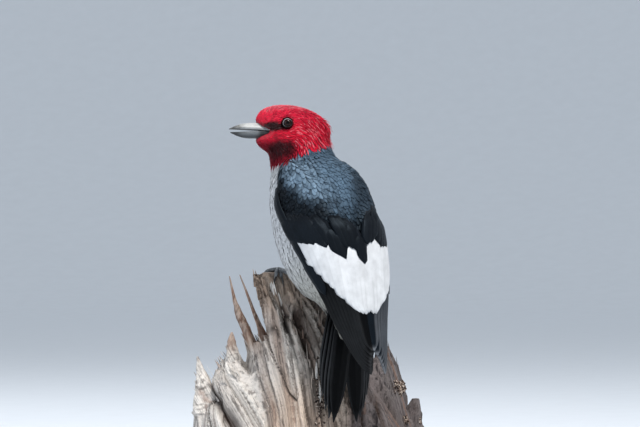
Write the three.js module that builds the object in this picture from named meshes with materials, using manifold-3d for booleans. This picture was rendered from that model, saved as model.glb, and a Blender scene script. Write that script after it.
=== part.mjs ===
// A red-headed woodpecker, life size, clinging to the broken top of a dead trunk that a plain
// display stand holds up. Millimetres, +Z up. The bird's breast faces -Y and its left side is +X.
// The origin is the middle of the stand's underside.
import * as THREE from "three";
import { mergeVertices } from "three/addons/utils/BufferGeometryUtils.js";
import Module from "manifold-3d";

const wasm = await Module();
wasm.setup();

const deg = THREE.MathUtils.degToRad;
const lerp = THREE.MathUtils.lerp;
const gap = 0.3; // air left between neighbouring solids

// Stand
const baseRadius = 84;
const baseHeight = 12;
const baseBevel = 1.5;
const rodRadius = 4;
const rodLength = 30;
const rodSpread = 34; // half the way between the two rods
const rodShift = 4; // how far their middle lies to the left
const perchFoot = baseHeight + rodLength;

// Bird: how it holds itself
const bodyLean = deg(30); // the back leans away from the wood
const bodyCentre = [0, 10.2, 171];
const headTurn = deg(72); // the bill points over the left shoulder
const headCentre = [8.6, -20.7, 243.6];
const tailRoot = [0, 31.5, 140];
const tailLean = deg(4.3);
const perchTurn = deg(142); // the broad face of the broken trunk

// Bird: sizes
const tailFeatherThickness = 1.3;
const eyeRadius = 3.9;
const billLength = 27;
const billWidth = 9.6;
const tarsusRadius = 1.35;
const toeRadius = 1.25;

// ---------- shape helpers ----------

// A closed geometry as a solid for joining and cutting.
function solidOf(geometry) {
  const bare = new THREE.BufferGeometry().setAttribute("position", geometry.getAttribute("position"));
  bare.setIndex(geometry.index);
  const merged = mergeVertices(bare, 1e-4);
  return new wasm.Manifold(
    new wasm.Mesh({
      numProp: 3,
      vertProperties: merged.attributes.position.array,
      triVerts: new Uint32Array(merged.index.array),
    }),
  );
}

function geometryOf(solid) {
  const mesh = solid.getMesh();
  const geometry = new THREE.BufferGeometry();
  geometry.setAttribute("position", new THREE.BufferAttribute(mesh.vertProperties, 3));
  geometry.setIndex(new THREE.BufferAttribute(mesh.triVerts, 1));
  geometry.computeVertexNormals();
  return geometry;
}

// The same solid as another group sees it.
function seenFrom(solid, from, to) {
  from.updateWorldMatrix(true, false);
  to.updateWorldMatrix(true, false);
  return solid.transform(to.matrixWorld.clone().invert().multiply(from.matrixWorld).elements);
}

const joined = (solids) => solids.reduce((a, b) => a.add(b));
// What is left of a solid once its loose crumbs are gone.
const largest = (solid) => solid.decompose().sort((a, b) => b.volume() - a.volume())[0];

// The left-hand geometry seen in a mirror at X = 0.
function mirrored(geometry) {
  const other = geometry.clone().scale(-1, 1, 1);
  const index = other.index.array;
  for (let i = 0; i < index.length; i += 3) [index[i], index[i + 1]] = [index[i + 1], index[i]];
  return other;
}

// A smooth run through rows of numbers: f(0) is the first row and f(1) the last.
function smoothRows(rows) {
  const columns = rows[0].map((_, c) => rows.map((row) => row[c]));
  return (t) => {
    const place = THREE.MathUtils.clamp(t, 0, 1) * (rows.length - 1);
    const i = Math.min(Math.floor(place), rows.length - 2);
    const f = place - i;
    return columns.map((v) => {
      const before = v[Math.max(i - 1, 0)];
      const after = v[Math.min(i + 2, v.length - 1)];
      const a = (v[i + 1] - before) / 2;
      const b = (after - v[i]) / 2;
      const d = v[i + 1] - v[i];
      return v[i] + f * (a + f * (3 * d - 2 * a - b + f * (a + b - 2 * d)));
    });
  };
}

const powered = (value, power) => Math.sign(value) * Math.abs(value) ** power;

// A solid swept along a smooth spine. Each station is [x, y, z, side, back, front]: the spine's
// point and how far the section reaches to its sides, its back and its front. A seventh number
// gives the back half a width of its own. Fullness above 2 squares the sections off.
function sweep(stations, { around = 20, along = 20, fullness = 2, side = [1, 0, 0], grow = 0 } = {}) {
  const row = smoothRows(stations);
  const geometry = new THREE.CylinderGeometry(1, 1, 1, around, along);
  const position = geometry.getAttribute("position");
  const step = 0.5 / along;
  const [centre, before, after] = [new THREE.Vector3(), new THREE.Vector3(), new THREE.Vector3()];
  for (let i = 0; i < position.count; i++) {
    const t = 0.5 - position.getY(i);
    const [x, y, z, wide, back, front, backWide = wide] = row(t);
    centre.set(x, y, z);
    before.fromArray(row(t - step));
    after.fromArray(row(t + step));
    const tangent = after.sub(before).normalize();
    const across = new THREE.Vector3(...side);
    across.addScaledVector(tangent, -tangent.dot(across)).normalize();
    const up = across.clone().cross(tangent);
    const u = powered(position.getX(i), 2 / fullness);
    const v = powered(position.getZ(i), 2 / fullness);
    const half = lerp(wide, backWide, THREE.MathUtils.smoothstep(v, -0.35, 0.45));
    centre.addScaledVector(across, -u * (half + grow));
    centre.addScaledVector(up, v * ((v > 0 ? back : front) + grow));
    position.setXYZ(i, centre.x, centre.y, centre.z);
  }
  return geometry;
}

// A thick sheet made from a box, where place(s, v, depth) gives the point under s along, v across
// and depth below the outer face.
function sheet(place, along, across, top, bottom) {
  const geometry = new THREE.BoxGeometry(1, 1, 1, along, across, 1);
  const position = geometry.getAttribute("position");
  for (let i = 0; i < position.count; i++) {
    const s = position.getX(i) + 0.5;
    const v = position.getY(i) + 0.5;
    const point = place(s, v, position.getZ(i) > 0 ? top(s, v) : bottom(s, v));
    position.setXYZ(i, ...point);
  }
  return geometry;
}

// ---------- materials ----------

function finish(color, roughness, metalness = 0) {
  return new THREE.MeshStandardMaterial({ color, roughness, metalness });
}
const redFeather = finish(0xb5162a, 0.8);
const blackFeather = finish(0x1d2733, 0.45);
const whiteFeather = finish(0xece9e2, 0.8);
const billHorn = finish(0x8f989b, 0.4);
const eyeGloss = finish(0x120c0a, 0.1);
const legSkin = finish(0x6d6f6b, 0.6);
const clawHorn = finish(0x3a3937, 0.4);
const oldWood = finish(0xa99684, 0.9);
const standPaint = finish(0x2e2f31, 0.5);
const steelRod = finish(0x8a8d90, 0.35, 1);

function named(name, geometry, material) {
  const mesh = new THREE.Mesh(geometry, material);
  mesh.name = name;
  return mesh;
}

// ---------- groups ----------

const model = new THREE.Group();
const stand = new THREE.Group();
const perch = new THREE.Group();
perch.rotation.z = perchTurn; // its X runs along the broad face and its Y goes through the wood
const body = new THREE.Group(); // its Z runs up the leaning body and its Y out of the back
body.position.set(...bodyCentre);
body.rotation.x = bodyLean;
const head = new THREE.Group();
head.position.set(...headCentre);
head.rotation.z = headTurn;
const tail = new THREE.Group();
tail.position.set(...tailRoot);
tail.rotation.x = -tailLean;
const legs = new THREE.Group();
model.add(stand, perch, body, head, tail, legs);

// ---------- trunk and neck ----------

const trunkStations = [
  [0, 0.4, 64, 16, 13.2, 16, 13.5],
  [0, 0.6, 54, 22.2, 18.8, 22, 19],
  [0, 1.0, 44, 27, 24.8, 26.5, 23],
  [0, 1.2, 30, 30, 31, 31.5, 27],
  [0, 0, 12, 31.2, 31, 34.4, 28.2],
  [0, 0, -6, 31.2, 27, 35, 27.8],
  [0, 0, -24, 27.2, 22, 31, 26.5],
  [0, -0.5, -38, 20.4, 15, 22, 22.5],
  [0, -4.5, -49, 16.6, 7.5, 16, 15],
  [0, -10, -58, 12, 2, 9, 11],
  [0, -14, -65, 8.5, 1, 3.6, 8],
];
const neckStations = [
  [3.4, -19.2, 241, 14.5, 14.5, 13.5],
  [2.6, -18.6, 234, 18.6, 19.4, 17.6],
  [1.8, -18.2, 227, 20.4, 21.0, 20.2],
  [0.8, -16.8, 220, 21.0, 21.0, 21.0],
  [0, -13, 211, 22.5, 21.5, 23],
];
// The red hood ends on a plane that leans with the turned neck.
const hoodEdge = { at: [0, -18, 223.2], normal: [0.31, -0.29, 1] };

// Everything on the tail side of the hood's edge.
function belowHood(offset) {
  const half = 120;
  const block = new THREE.BoxGeometry(2 * half, 2 * half, 2 * half).translate(0, 0, -half + offset);
  const upwards = new THREE.Vector3(...hoodEdge.normal).normalize();
  const lean = new THREE.Quaternion().setFromUnitVectors(new THREE.Vector3(0, 0, 1), upwards);
  return solidOf(block.applyQuaternion(lean).translate(...hoodEdge.at));
}

// Everything on the back's side of the line between the wings, above the rump.
const mantleBlock = { front: 11, foot: -30 };
function backBlock(offset) {
  const half = 60;
  const block = new THREE.BoxGeometry(2 * half, 2 * half, 2 * half);
  return solidOf(block.translate(0, mantleBlock.front + half - offset, mantleBlock.foot + half - offset));
}

const trunkShape = (grow) => solidOf(sweep(trunkStations, { around: 20, along: 13, fullness: 2.25, grow }));
const neckShape = (grow) => solidOf(sweep(neckStations, { around: 18, along: 5, grow }));

// ---------- head ----------

const headStations = [
  [0, -22.8, -3.4, 3.4, 5.6, 6.6],
  [0, -21.6, -3.4, 4.8, 9.2, 10.4],
  [0, -18, -3.0, 6.4, 12.6, 14.2],
  [0, -12, -2.2, 9.0, 14.6, 16.4],
  [0, -4, -1.6, 12.2, 15.0, 16.4],
  [0, 5, -1.6, 14.2, 14.0, 15.6],
  [0, 13, -2.6, 13.8, 12.0, 14.6],
  [0, 19.5, -4.4, 11.4, 9.4, 12.6],
  [0, 24, -6.6, 7.2, 6.4, 9.0],
  [0, 26, -8.2, 3.2, 3.2, 4.6],
];
const eyeAt = [13.2, -4.7, 1.1];
const jawOpening = deg(1.6);
const billRoot = [0, -13, -3.3];

const headShape = (grow) => solidOf(sweep(headStations, { around: 18, along: 13, fullness: 2.15, grow }));

// One half of the bill: a tapering wedge whose flat side is the mouth line and whose ridge is
// ridgeHeight above it at the root.
function mandible(ridgeHeight, length, opening, grow) {
  const row = smoothRows([
    [0, 0.5 * billWidth, ridgeHeight],
    [0.33, 0.44 * billWidth, ridgeHeight],
    [0.62, 0.32 * billWidth, 0.92 * ridgeHeight],
    [0.82, 0.19 * billWidth, 0.6 * ridgeHeight],
    [0.94, 0.1 * billWidth, 0.28 * ridgeHeight],
    [1, 0.06 * billWidth, 0.13 * ridgeHeight],
  ]);
  const geometry = new THREE.CylinderGeometry(1, 1, 1, 10, 7);
  const position = geometry.getAttribute("position");
  for (let i = 0; i < position.count; i++) {
    const [along, half, ridge] = row(0.5 - position.getY(i));
    const x = position.getX(i) * (half + grow);
    const z = position.getZ(i);
    position.setXYZ(i, x, -along * (length + grow), z < 0 ? 0.1 * z - grow : z ** 0.9 * (ridge + grow));
  }
  return geometry.rotateX(-opening);
}

const upperBill = (grow) => mandible(4.5, billLength, 0.6 * jawOpening, grow).translate(...billRoot);
const lowerBill = (grow) =>
  mandible(4.4, billLength - 0.8, jawOpening, grow)
    .rotateY(Math.PI)
    .translate(0, 0, -2 * gap)
    .translate(...billRoot);
const eyeball = (side) =>
  new THREE.SphereGeometry(eyeRadius, 12, 9).translate(side * (eyeAt[0] - eyeRadius), eyeAt[1], eyeAt[2]);
// The hollow an eye sits in, cut more coarsely and so a little larger.
const socketRadius = 1.13 * eyeRadius;
const socket = (side) =>
  new THREE.SphereGeometry(socketRadius, 9, 7).translate(side * (eyeAt[0] - eyeRadius), eyeAt[1], eyeAt[2]);

function buildHead() {
  const sockets = [1, -1].map((side) => solidOf(socket(side)));
  const bills = [solidOf(upperBill(gap)), solidOf(lowerBill(gap))];
  const headSolid = headShape(0).subtract(joined([...sockets, ...bills]));
  head.add(named("head", geometryOf(headSolid), redFeather));
  const upper = solidOf(upperBill(0));
  const lower = solidOf(lowerBill(0)).subtract(solidOf(upperBill(gap)));
  head.add(named("bill_upper", geometryOf(upper), billHorn));
  head.add(named("bill_lower", geometryOf(lower), billHorn));
  head.add(named("eye_left", eyeball(1), eyeGloss));
  head.add(named("eye_right", eyeball(-1), eyeGloss));
}

function buildTrunkAndNeck() {
  const clearOfHead = seenFrom(headShape(gap), head, model);
  const hood = neckShape(0).subtract(belowHood(gap / 2)).subtract(clearOfHead);
  model.add(named("neck", geometryOf(largest(hood)), redFeather));
  const breast = trunkShape(0).add(seenFrom(neckShape(0), model, body));
  const cut = breast.intersect(seenFrom(belowHood(-gap / 2), model, body));
  const whole = cut.subtract(seenFrom(clearOfHead, model, body));
  body.add(named("trunk", geometryOf(largest(whole.subtract(backBlock(gap / 2)))), whiteFeather));
  body.add(named("mantle", geometryOf(largest(whole.intersect(backBlock(-gap / 2)))), blackFeather));
}

// ---------- wings ----------

// Rows down the folded wing: z, the middle's y, the half width, the half depth, and the angles
// from the middle of the back to the wing's inner and lower edges.
const wingRow = smoothRows([
  [53, 1.0, 25.0, 24.5, 62, 74],
  [46, 1.2, 28.6, 28.0, 50, 86],
  [29, 1.4, 33.2, 33.8, 38, 92],
  [10, 0.6, 34.6, 34.2, 24, 89],
  [-8, 0, 34.2, 31.4, 8, 83],
  [-25, 0, 32.0, 26.0, 2.5, 79],
  [-43, 0, 26.8, 19.4, 2, 78],
  [-60, -3, 21.8, 15.8, 2.5, 74],
  [-78, -6, 16.6, 13.4, 6, 62],
  [-89, -6.5, 12.6, 10.6, 13, 48],
  [-95.5, -6, 10.4, 8.4, 25, 38],
]);

function wingPlace(s, v, depth) {
  const [z, middle, wide, deep, inner, lower] = wingRow(s);
  const angle = deg(lerp(lower, inner, v));
  const outwards = new THREE.Vector2(Math.sin(angle) / wide, Math.cos(angle) / deep).normalize();
  const x = wide * Math.sin(angle) - depth * outwards.x;
  const y = middle + deep * Math.cos(angle) - depth * outwards.y;
  return [x, y, z];
}

const wingThickness = (s) => lerp(4.6, 1.3, THREE.MathUtils.smoothstep(s, 0.3, 0.95));

// The white secondaries across the wing, from its lower edge to the back's middle: where the
// black coverts end above them, and where their own tips come.
const panelEdges = smoothRows([
  [0.372, 0.53],
  [0.402, 0.59],
  [0.436, 0.632],
  [0.458, 0.662],
  [0.513, 0.69],
  [0.488, 0.708],
  [0.545, 0.715],
]);
const wingLength = 150;
const wingWidth = 50;
const panelInnerEdge = 0.1; // the lowest tenth of the wing's width stays black
function panelPlace(s, v, depth, grow) {
  const [covertEdge, tips] = panelEdges(v);
  const run = lerp(covertEdge - grow / wingLength, tips + grow / wingLength, s);
  const over = lerp(panelInnerEdge - grow / wingWidth, 1 + grow / wingWidth, v);
  return wingPlace(run, over, depth);
}
// The panel stands a little proud of the wing, and its cutting twin reaches clear of both faces.
const panelRise = 0.6;
const panelDepth = 0.8;
function whitePanel(grow) {
  const place = (s, v, depth) => panelPlace(s, v, depth, grow);
  return sheet(place, 4, 10, () => -panelRise - 4 * grow, () => panelDepth + grow);
}

function buildWings() {
  const trunkTool = trunkShape(gap);
  const neckTool = seenFrom(neckShape(gap), model, body);
  const shell = solidOf(sheet(wingPlace, 14, 5, () => 0, wingThickness));
  const wing = shell.subtract(trunkTool).subtract(neckTool).subtract(solidOf(whitePanel(gap)));
  const panel = largest(solidOf(whitePanel(0)).subtract(trunkTool));
  const left = [
    ["wing_left", geometryOf(largest(wing)), blackFeather],
    ["wing_left_secondaries", geometryOf(panel), whiteFeather],
  ];
  for (const [name, geometry, material] of left) {
    body.add(named(name, geometry, material));
    body.add(named(name.replace("left", "right"), mirrored(geometry), material));
  }
}

// ---------- tail ----------

// One stiff tail feather hanging from the root: a strap that narrows to a point.
function tailFeather(length, width, thickness) {
  const half = width / 2;
  const shape = new THREE.Shape();
  shape.moveTo(-0.5 * half, 0);
  shape.quadraticCurveTo(-half, -0.25 * length, -half, -0.7 * length);
  shape.quadraticCurveTo(-0.8 * half, -0.88 * length, -0.1 * half, -length);
  shape.lineTo(0.1 * half, -length);
  shape.quadraticCurveTo(0.8 * half, -0.88 * length, half, -0.7 * length);
  shape.quadraticCurveTo(half, -0.25 * length, 0.5 * half, 0);
  const options = { depth: thickness, bevelEnabled: false, curveSegments: 3 };
  const strip = new THREE.ExtrudeGeometry(shape, options);
  return strip.translate(0, 0, -thickness / 2).rotateX(Math.PI / 2);
}

// Each pair from the middle outwards: length, width, splay, and how far out it is rooted.
const tailPairs = [
  { length: 83, width: 14, splay: 5.4, root: 1.4 },
  { length: 80.5, width: 11.5, splay: 6.9, root: 3 },
  { length: 75, width: 10.5, splay: 8, root: 5 },
  { length: 67, width: 10, splay: 9, root: 7.4 },
  { length: 57, width: 9, splay: 10, root: 9.4 },
];

function tailShape(grow) {
  const feathers = [];
  tailPairs.forEach(({ length, width, splay, root }, k) => {
    for (const side of [1, -1]) {
      const blade = tailFeather(length + grow, width + 2 * grow, tailFeatherThickness + 2 * grow);
      blade.rotateY(-side * deg(splay));
      blade.translate(side * root, -0.55 * k + 0.06 * side, 0);
      feathers.push(solidOf(blade));
    }
  });
  return joined(feathers);
}

function buildTail() {
  const coverts = seenFrom(trunkShape(gap), body, tail);
  tail.add(named("tail", geometryOf(largest(tailShape(0).subtract(coverts))), blackFeather));
}

// ---------- legs ----------

const ankle = [10.6, -13, 147];
const footAt = [8.6, -31.5, 152.2];
// Each toe: its heading from straight ahead (outwards is positive), its length, and its drop.
const toes = [
  { heading: -18, length: 10.5, drop: 3 },
  { heading: 14, length: 12.5, drop: 4 },
  { heading: 128, length: 7.5, drop: 4.8 },
  { heading: 158, length: 6, drop: 5 },
];

const toePoint = (toe, reach, drop) => [
  footAt[0] + reach * Math.sin(deg(toe.heading)),
  footAt[1] - reach * Math.cos(deg(toe.heading)),
  footAt[2] - drop,
];

function toeShape(toe, grow) {
  const r = toeRadius;
  const side = [Math.cos(deg(toe.heading)), Math.sin(deg(toe.heading)), 0];
  const stations = [
    [...toePoint(toe, -1.5, -0.2), 1.2 * r, 1.1 * r, 1.1 * r],
    [...toePoint(toe, 0.35 * toe.length, 0), r, r, r],
    [...toePoint(toe, 0.75 * toe.length, 0.3 * toe.drop), r, 0.95 * r, 1.05 * r],
    [...toePoint(toe, toe.length, toe.drop), 0.8 * r, 0.8 * r, 0.8 * r],
  ];
  return solidOf(sweep(stations, { around: 6, along: 3, side, grow }));
}

function clawShape(toe, grow) {
  const side = [Math.cos(deg(toe.heading)), Math.sin(deg(toe.heading)), 0];
  const { length, drop } = toe;
  const stations = [
    [...toePoint(toe, length - 0.6, drop - 0.4), 0.75, 0.9, 0.9],
    [...toePoint(toe, length + 2.2, drop + 0.9), 0.65, 0.85, 0.85],
    [...toePoint(toe, length + 4.0, drop + 3.2), 0.45, 0.6, 0.6],
    [...toePoint(toe, length + 4.4, drop + 5.8), 0.12, 0.15, 0.15],
  ];
  return solidOf(sweep(stations, { around: 6, along: 4, side, grow }));
}

const shank = tarsusRadius;
const tarsusStations = [
  [...ankle, 1.3 * shank, 1.3 * shank, 1.4 * shank],
  [10.2, -18, 149.4, shank, shank, shank],
  [9.2, -26.5, 151.8, shank, shank, shank],
  [...footAt, 1.5 * shank, shank, shank],
];
const thighStations = [
  [13.5, 2, 158, 8, 8, 8],
  [12.6, -6, 153, 7.4, 7, 7],
  [11.4, -13, 149, 5, 5, 5],
  [10.6, -17.6, 148.6, 2.4, 2.4, 2.4],
];
const tarsusShape = (grow) => solidOf(sweep(tarsusStations, { around: 7, along: 4, grow }));
const thighShape = (grow) => solidOf(sweep(thighStations, { around: 12, along: 5, grow }));
const footShape = (grow) => joined([tarsusShape(grow), ...toes.map((toe) => toeShape(toe, grow))]);

function buildLegs() {
  const trunkTool = seenFrom(trunkShape(gap), body, legs);
  const thigh = largest(thighShape(0).subtract(trunkTool));
  const foot = largest(footShape(0).subtract(thighShape(gap)).subtract(trunkTool));
  const left = [
    ["thigh_left", geometryOf(thigh), whiteFeather],
    ["foot_left", geometryOf(foot), legSkin],
  ];
  toes.forEach((toe, i) => {
    left.push(["claw_left_" + (i + 1), geometryOf(clawShape(toe, 0).subtract(footShape(gap))), clawHorn]);
  });
  for (const [name, geometry, material] of left) {
    legs.add(named(name, geometry, material));
    legs.add(named(name.replace("left", "right"), mirrored(geometry), material));
  }
}

// ---------- perch ----------

const squareness = 0.85; // below 1 the sections are fuller than an ellipse
// One split of wood: a stack of sections [x, y, z, half width, half depth], roughened by ridges
// that run up the grain.
function split(sections, { around, along, ridges = 5, rough = 0.06, turn = 0 }) {
  const row = smoothRows(sections);
  const geometry = new THREE.CylinderGeometry(1, 1, 1, around, along);
  const position = geometry.getAttribute("position");
  for (let i = 0; i < position.count; i++) {
    const t = position.getY(i) + 0.5;
    const [x, y, z, wide, deep] = row(t);
    const angle = Math.atan2(position.getZ(i), position.getX(i));
    const reach = Math.hypot(position.getX(i), position.getZ(i));
    const broad = rough * Math.sin(ridges * angle + turn);
    const narrow = 0.5 * rough * Math.sin((2 * ridges + 3) * angle + 2 * turn + 4 * t);
    const grain = 1 + broad + narrow;
    const across = powered(Math.cos(angle), squareness) * reach * grain;
    const through = powered(Math.sin(angle), squareness) * reach * grain;
    position.setXYZ(i, x + wide * across, y - deep * through, z);
  }
  return solidOf(geometry);
}

// Each split of the wood: rows from its foot up, and how finely it is cut. Rows are across the
// broad face, through the wood, and up; then the half width and half depth.
const splits = [
  {
    // the butt of the trunk
    rows: [[-4, 8, perchFoot, 64, 34], [-4, 9, 62, 50, 28], [-2, 10, 80, 36, 20], [0, 12, 98, 16, 9]],
    cut: { around: 16, along: 4, ridges: 7, rough: 0.06 },
  },
  {
    // the flared slab on the left
    rows: [
      [-40, 2, perchFoot, 38, 26],
      [-45, 4, 64, 30, 18],
      [-49.5, 6, 84, 20.5, 11],
      [-53.5, 7, 96, 9.5, 6],
      [-55, 7, 103, 3, 2.5],
    ],
    cut: { around: 12, along: 5, ridges: 6, rough: 0.08, turn: 3 },
  },
  {
    // two low splinters beside it
    rows: [
      [-66, 6, perchFoot, 16, 16],
      [-70, 7, 60, 11, 11],
      [-74, 8, 82, 4.5, 5],
      [-77.5, 8, 97.4, 0.7, 0.7],
    ],
    cut: { around: 9, along: 4, turn: 4 },
  },
  {
    rows: [[-52, 6, 78, 8.5, 8], [-55, 7, 97, 4.6, 5], [-56, 7, 106, 3, 3], [-55.8, 7, 112.8, 0.8, 0.8]],
    cut: { around: 8, along: 4, turn: 5 },
  },
  {
    // the two long spikes
    rows: [
      [-37, 10, 84, 6.5, 6],
      [-45, 9, 110, 3.4, 3],
      [-50.4, 8.5, 122, 2.3, 1.8],
      [-54.4, 8, 134, 1, 0.9],
      [-57.2, 8, 148.2, 0.5, 0.5],
    ],
    cut: { around: 6, along: 7, turn: 1 },
  },
  {
    rows: [
      [-30, 12, 86, 7, 6],
      [-37, 11, 112, 2.8, 2.4],
      [-41, 10.5, 123, 1.5, 1.3],
      [-45.4, 10, 135, 1, 0.9],
      [-50.8, 10, 149, 0.5, 0.5],
    ],
    cut: { around: 6, along: 6, turn: 2 },
  },
  {
    // the right side, behind the tail
    rows: [[34, 26, perchFoot, 34, 26], [33, 27, 66, 24, 22], [37, 28, 87, 15, 14], [42, 29, 106, 2, 3]],
    cut: { around: 12, along: 4, ridges: 6, rough: 0.07, turn: 2 },
  },
  {
    rows: [[55, 24, perchFoot, 12, 12], [58, 25, 56, 8, 8], [61, 25, 70, 2, 2.5]],
    cut: { around: 8, along: 3, turn: 3 },
  },
];
// The standing splinter that the feet hold and the tail leans on, square to the bird.
const crestRows = [
  [0, -20, perchFoot, 40, 43.5],
  [1, -19, 60, 36, 43.5],
  [2, -19.5, 80, 33, 38],
  [3, -21, 98, 30, 32.5],
  [4, -24, 114, 27.5, 26.5],
  [4.6, -28, 128, 25.5, 19.5],
  [5, -32.5, 140, 23.5, 12],
  [5, -35.6, 150.6, 21, 6.6],
];

// The crest's left side has split away along the grain, down to the slab's shoulder.
const notch = { edge: -33.7, foot: 110, lean: deg(14), size: 90 };
function notchBlock() {
  const half = notch.size / 2;
  const block = new THREE.BoxGeometry(notch.size, 2 * notch.size, notch.size).translate(-half, 0, half);
  return solidOf(block.rotateY(-notch.lean).translate(notch.edge, 0, notch.foot));
}

function perchShape() {
  const standing = split(crestRows, { around: 16, along: 7, ridges: 6, rough: 0.05, turn: 1 });
  const crest = seenFrom(standing, model, perch).subtract(notchBlock());
  return joined([crest, ...splits.map(({ rows, cut }) => split(rows, cut))]);
}

// The wood is flat where the tail leans on it.
const seat = { wide: 44, deep: 40, high: 100, behindTail: 0.9, hang: 0.45 };
function tailSeat() {
  const block = new THREE.BoxGeometry(seat.wide, seat.deep, seat.high);
  return solidOf(block.translate(0, seat.deep / 2 - seat.behindTail, -seat.hang * seat.high));
}

function buildPerch() {
  const bird = [
    seenFrom(trunkShape(gap), body, perch),
    seenFrom(tailShape(gap).add(tailSeat()), tail, perch),
    ...[1, -1].map((side) => {
      const leg = joined([thighShape(gap), footShape(gap), ...toes.map((toe) => clawShape(toe, gap))]);
      return seenFrom(side > 0 ? leg : solidOf(mirrored(geometryOf(leg))), legs, perch);
    }),
  ];
  perch.add(named("perch", geometryOf(largest(perchShape().subtract(joined(bird)))), oldWood));
}

// ---------- stand ----------

function buildStand() {
  const profile = [
    [0, 0],
    [baseRadius - baseBevel, 0],
    [baseRadius, baseBevel],
    [baseRadius, baseHeight - baseBevel],
    [baseRadius - baseBevel, baseHeight],
    [0, baseHeight],
  ].map(([x, y]) => new THREE.Vector2(x, y));
  const plate = new THREE.LatheGeometry(profile, 36).rotateX(Math.PI / 2);
  stand.add(named("stand_base", plate, standPaint));
  [1, -1].forEach((side, i) => {
    const rod = new THREE.CylinderGeometry(rodRadius, rodRadius, rodLength, 16).rotateX(Math.PI / 2);
    const mesh = named("stand_rod_" + (i + 1), rod, steelRod);
    const reach = side * rodSpread - rodShift;
    mesh.position.set(reach * Math.cos(perchTurn), reach * Math.sin(perchTurn), baseHeight + rodLength / 2);
    stand.add(mesh);
  });
}

model.updateMatrixWorld(true);
buildHead();
buildTrunkAndNeck();
buildWings();
buildTail();
buildLegs();
buildPerch();
buildStand();

export default model;
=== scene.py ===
import math

import bmesh
import bpy
import numpy as np
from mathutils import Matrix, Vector
from mathutils.bvhtree import BVHTree
from mathutils.kdtree import KDTree


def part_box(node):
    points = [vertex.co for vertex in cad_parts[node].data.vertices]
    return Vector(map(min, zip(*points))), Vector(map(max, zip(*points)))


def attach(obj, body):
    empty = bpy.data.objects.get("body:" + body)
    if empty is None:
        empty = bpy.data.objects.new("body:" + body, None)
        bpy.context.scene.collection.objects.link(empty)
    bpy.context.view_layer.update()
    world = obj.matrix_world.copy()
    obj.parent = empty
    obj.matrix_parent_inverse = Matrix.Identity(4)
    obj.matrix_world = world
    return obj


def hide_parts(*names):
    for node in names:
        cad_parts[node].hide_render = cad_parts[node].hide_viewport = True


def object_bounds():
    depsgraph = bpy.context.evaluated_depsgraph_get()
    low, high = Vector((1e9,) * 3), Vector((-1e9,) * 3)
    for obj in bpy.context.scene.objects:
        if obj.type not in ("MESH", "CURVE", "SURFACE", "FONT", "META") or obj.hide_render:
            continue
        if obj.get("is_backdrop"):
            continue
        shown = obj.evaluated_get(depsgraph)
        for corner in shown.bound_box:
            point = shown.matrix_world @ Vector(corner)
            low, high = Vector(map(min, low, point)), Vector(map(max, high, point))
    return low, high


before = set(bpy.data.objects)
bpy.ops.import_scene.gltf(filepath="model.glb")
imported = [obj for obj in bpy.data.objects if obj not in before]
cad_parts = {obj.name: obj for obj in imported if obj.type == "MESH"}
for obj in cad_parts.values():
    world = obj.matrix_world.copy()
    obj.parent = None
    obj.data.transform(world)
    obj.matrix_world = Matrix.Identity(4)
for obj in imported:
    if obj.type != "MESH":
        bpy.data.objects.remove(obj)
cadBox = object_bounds()
chance = np.random.default_rng(23)
print("frame loaded")

# Shapes are worked out in millimetres and turned to metres when a mesh is made.


# sRGB hex to linear red, green, blue
def linear(hexColour):
    parts = [int(hexColour[i : i + 2], 16) / 255 for i in (1, 3, 5)]
    return tuple(c / 12.92 if c <= 0.04045 else ((c + 0.055) / 1.055) ** 2.4 for c in parts)


def colour(hexColour):
    return np.array(linear(hexColour))


def smoothStep(low, high, x):
    t = np.clip((x - low) / (high - low), 0, 1)
    return t * t * (3 - 2 * t)


def unit(v):
    return v / np.maximum(np.linalg.norm(v, axis=-1, keepdims=True), 1e-9)


def dot(a, b):
    return np.sum(a * b, axis=-1, keepdims=True)


def mix(a, b, t):
    return a + (b - a) * t


# the smooth run through evenly spaced rows that the solids use
def smoothRows(rows, t):
    rows = np.asarray(rows, float)
    place = np.clip(np.asarray(t, float), 0, 1) * (len(rows) - 1)
    i = np.minimum(np.floor(place).astype(int), len(rows) - 2)
    f = (place - i)[..., None]
    before = rows[np.maximum(i - 1, 0)]
    after = rows[np.minimum(i + 2, len(rows) - 1)]
    here, there = rows[i], rows[i + 1]
    a, b, d = (there - before) / 2, (after - here) / 2, there - here
    return here + f * (a + f * (3 * d - 2 * a - b + f * (a + b - 2 * d)))


# smooth noise from -1 to 1 with cells one unit across
def valueNoise(points, seed=0):
    cell = np.floor(points).astype(np.int64)
    f = points - cell
    f = f * f * (3 - 2 * f)
    total = np.zeros(len(points))
    for corner in range(8):
        step = np.array([corner & 1, corner >> 1 & 1, corner >> 2])
        c = cell + step
        h = (c[:, 0] * 374761393 + c[:, 1] * 668265263 + c[:, 2] * 1442695041 + seed * 97561) & 0xFFFFFFFF
        h = ((h ^ (h >> 13)) * 1274126177) & 0xFFFFFFFF
        weight = np.prod(np.where(step == 1, f, 1 - f), axis=1)
        total += weight * (((h ^ (h >> 16)) & 0xFFFF) / 32767.5 - 1)
    return total


# axes tilted forwards by an angle, then axes turned about the upright
def tiltedAxes(angle):
    c, s = math.cos(angle), math.sin(angle)
    return np.array([[1, 0, 0], [0, c, s], [0, -s, c]])


def turnedAxes(angle):
    c, s = math.cos(angle), math.sin(angle)
    return np.array([[c, s, 0], [-s, c, 0], [0, 0, 1]])


headTurn = math.radians(72)
cameraTurn = math.radians(142)
bodyCentre = np.array([0, 10.2, 171])
headCentre = np.array([8.6, -20.7, 243.6])
tailRoot = np.array([0, 31.5, 140])
bodyAxes = tiltedAxes(math.radians(30))
headAxes = turnedAxes(headTurn)
tailAxes = tiltedAxes(math.radians(-4.3))
perchAxes = turnedAxes(cameraTurn)
bodyDown = np.array([0, 0.5, -0.866])


def bodyPoint(p):
    return p @ bodyAxes + bodyCentre


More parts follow.
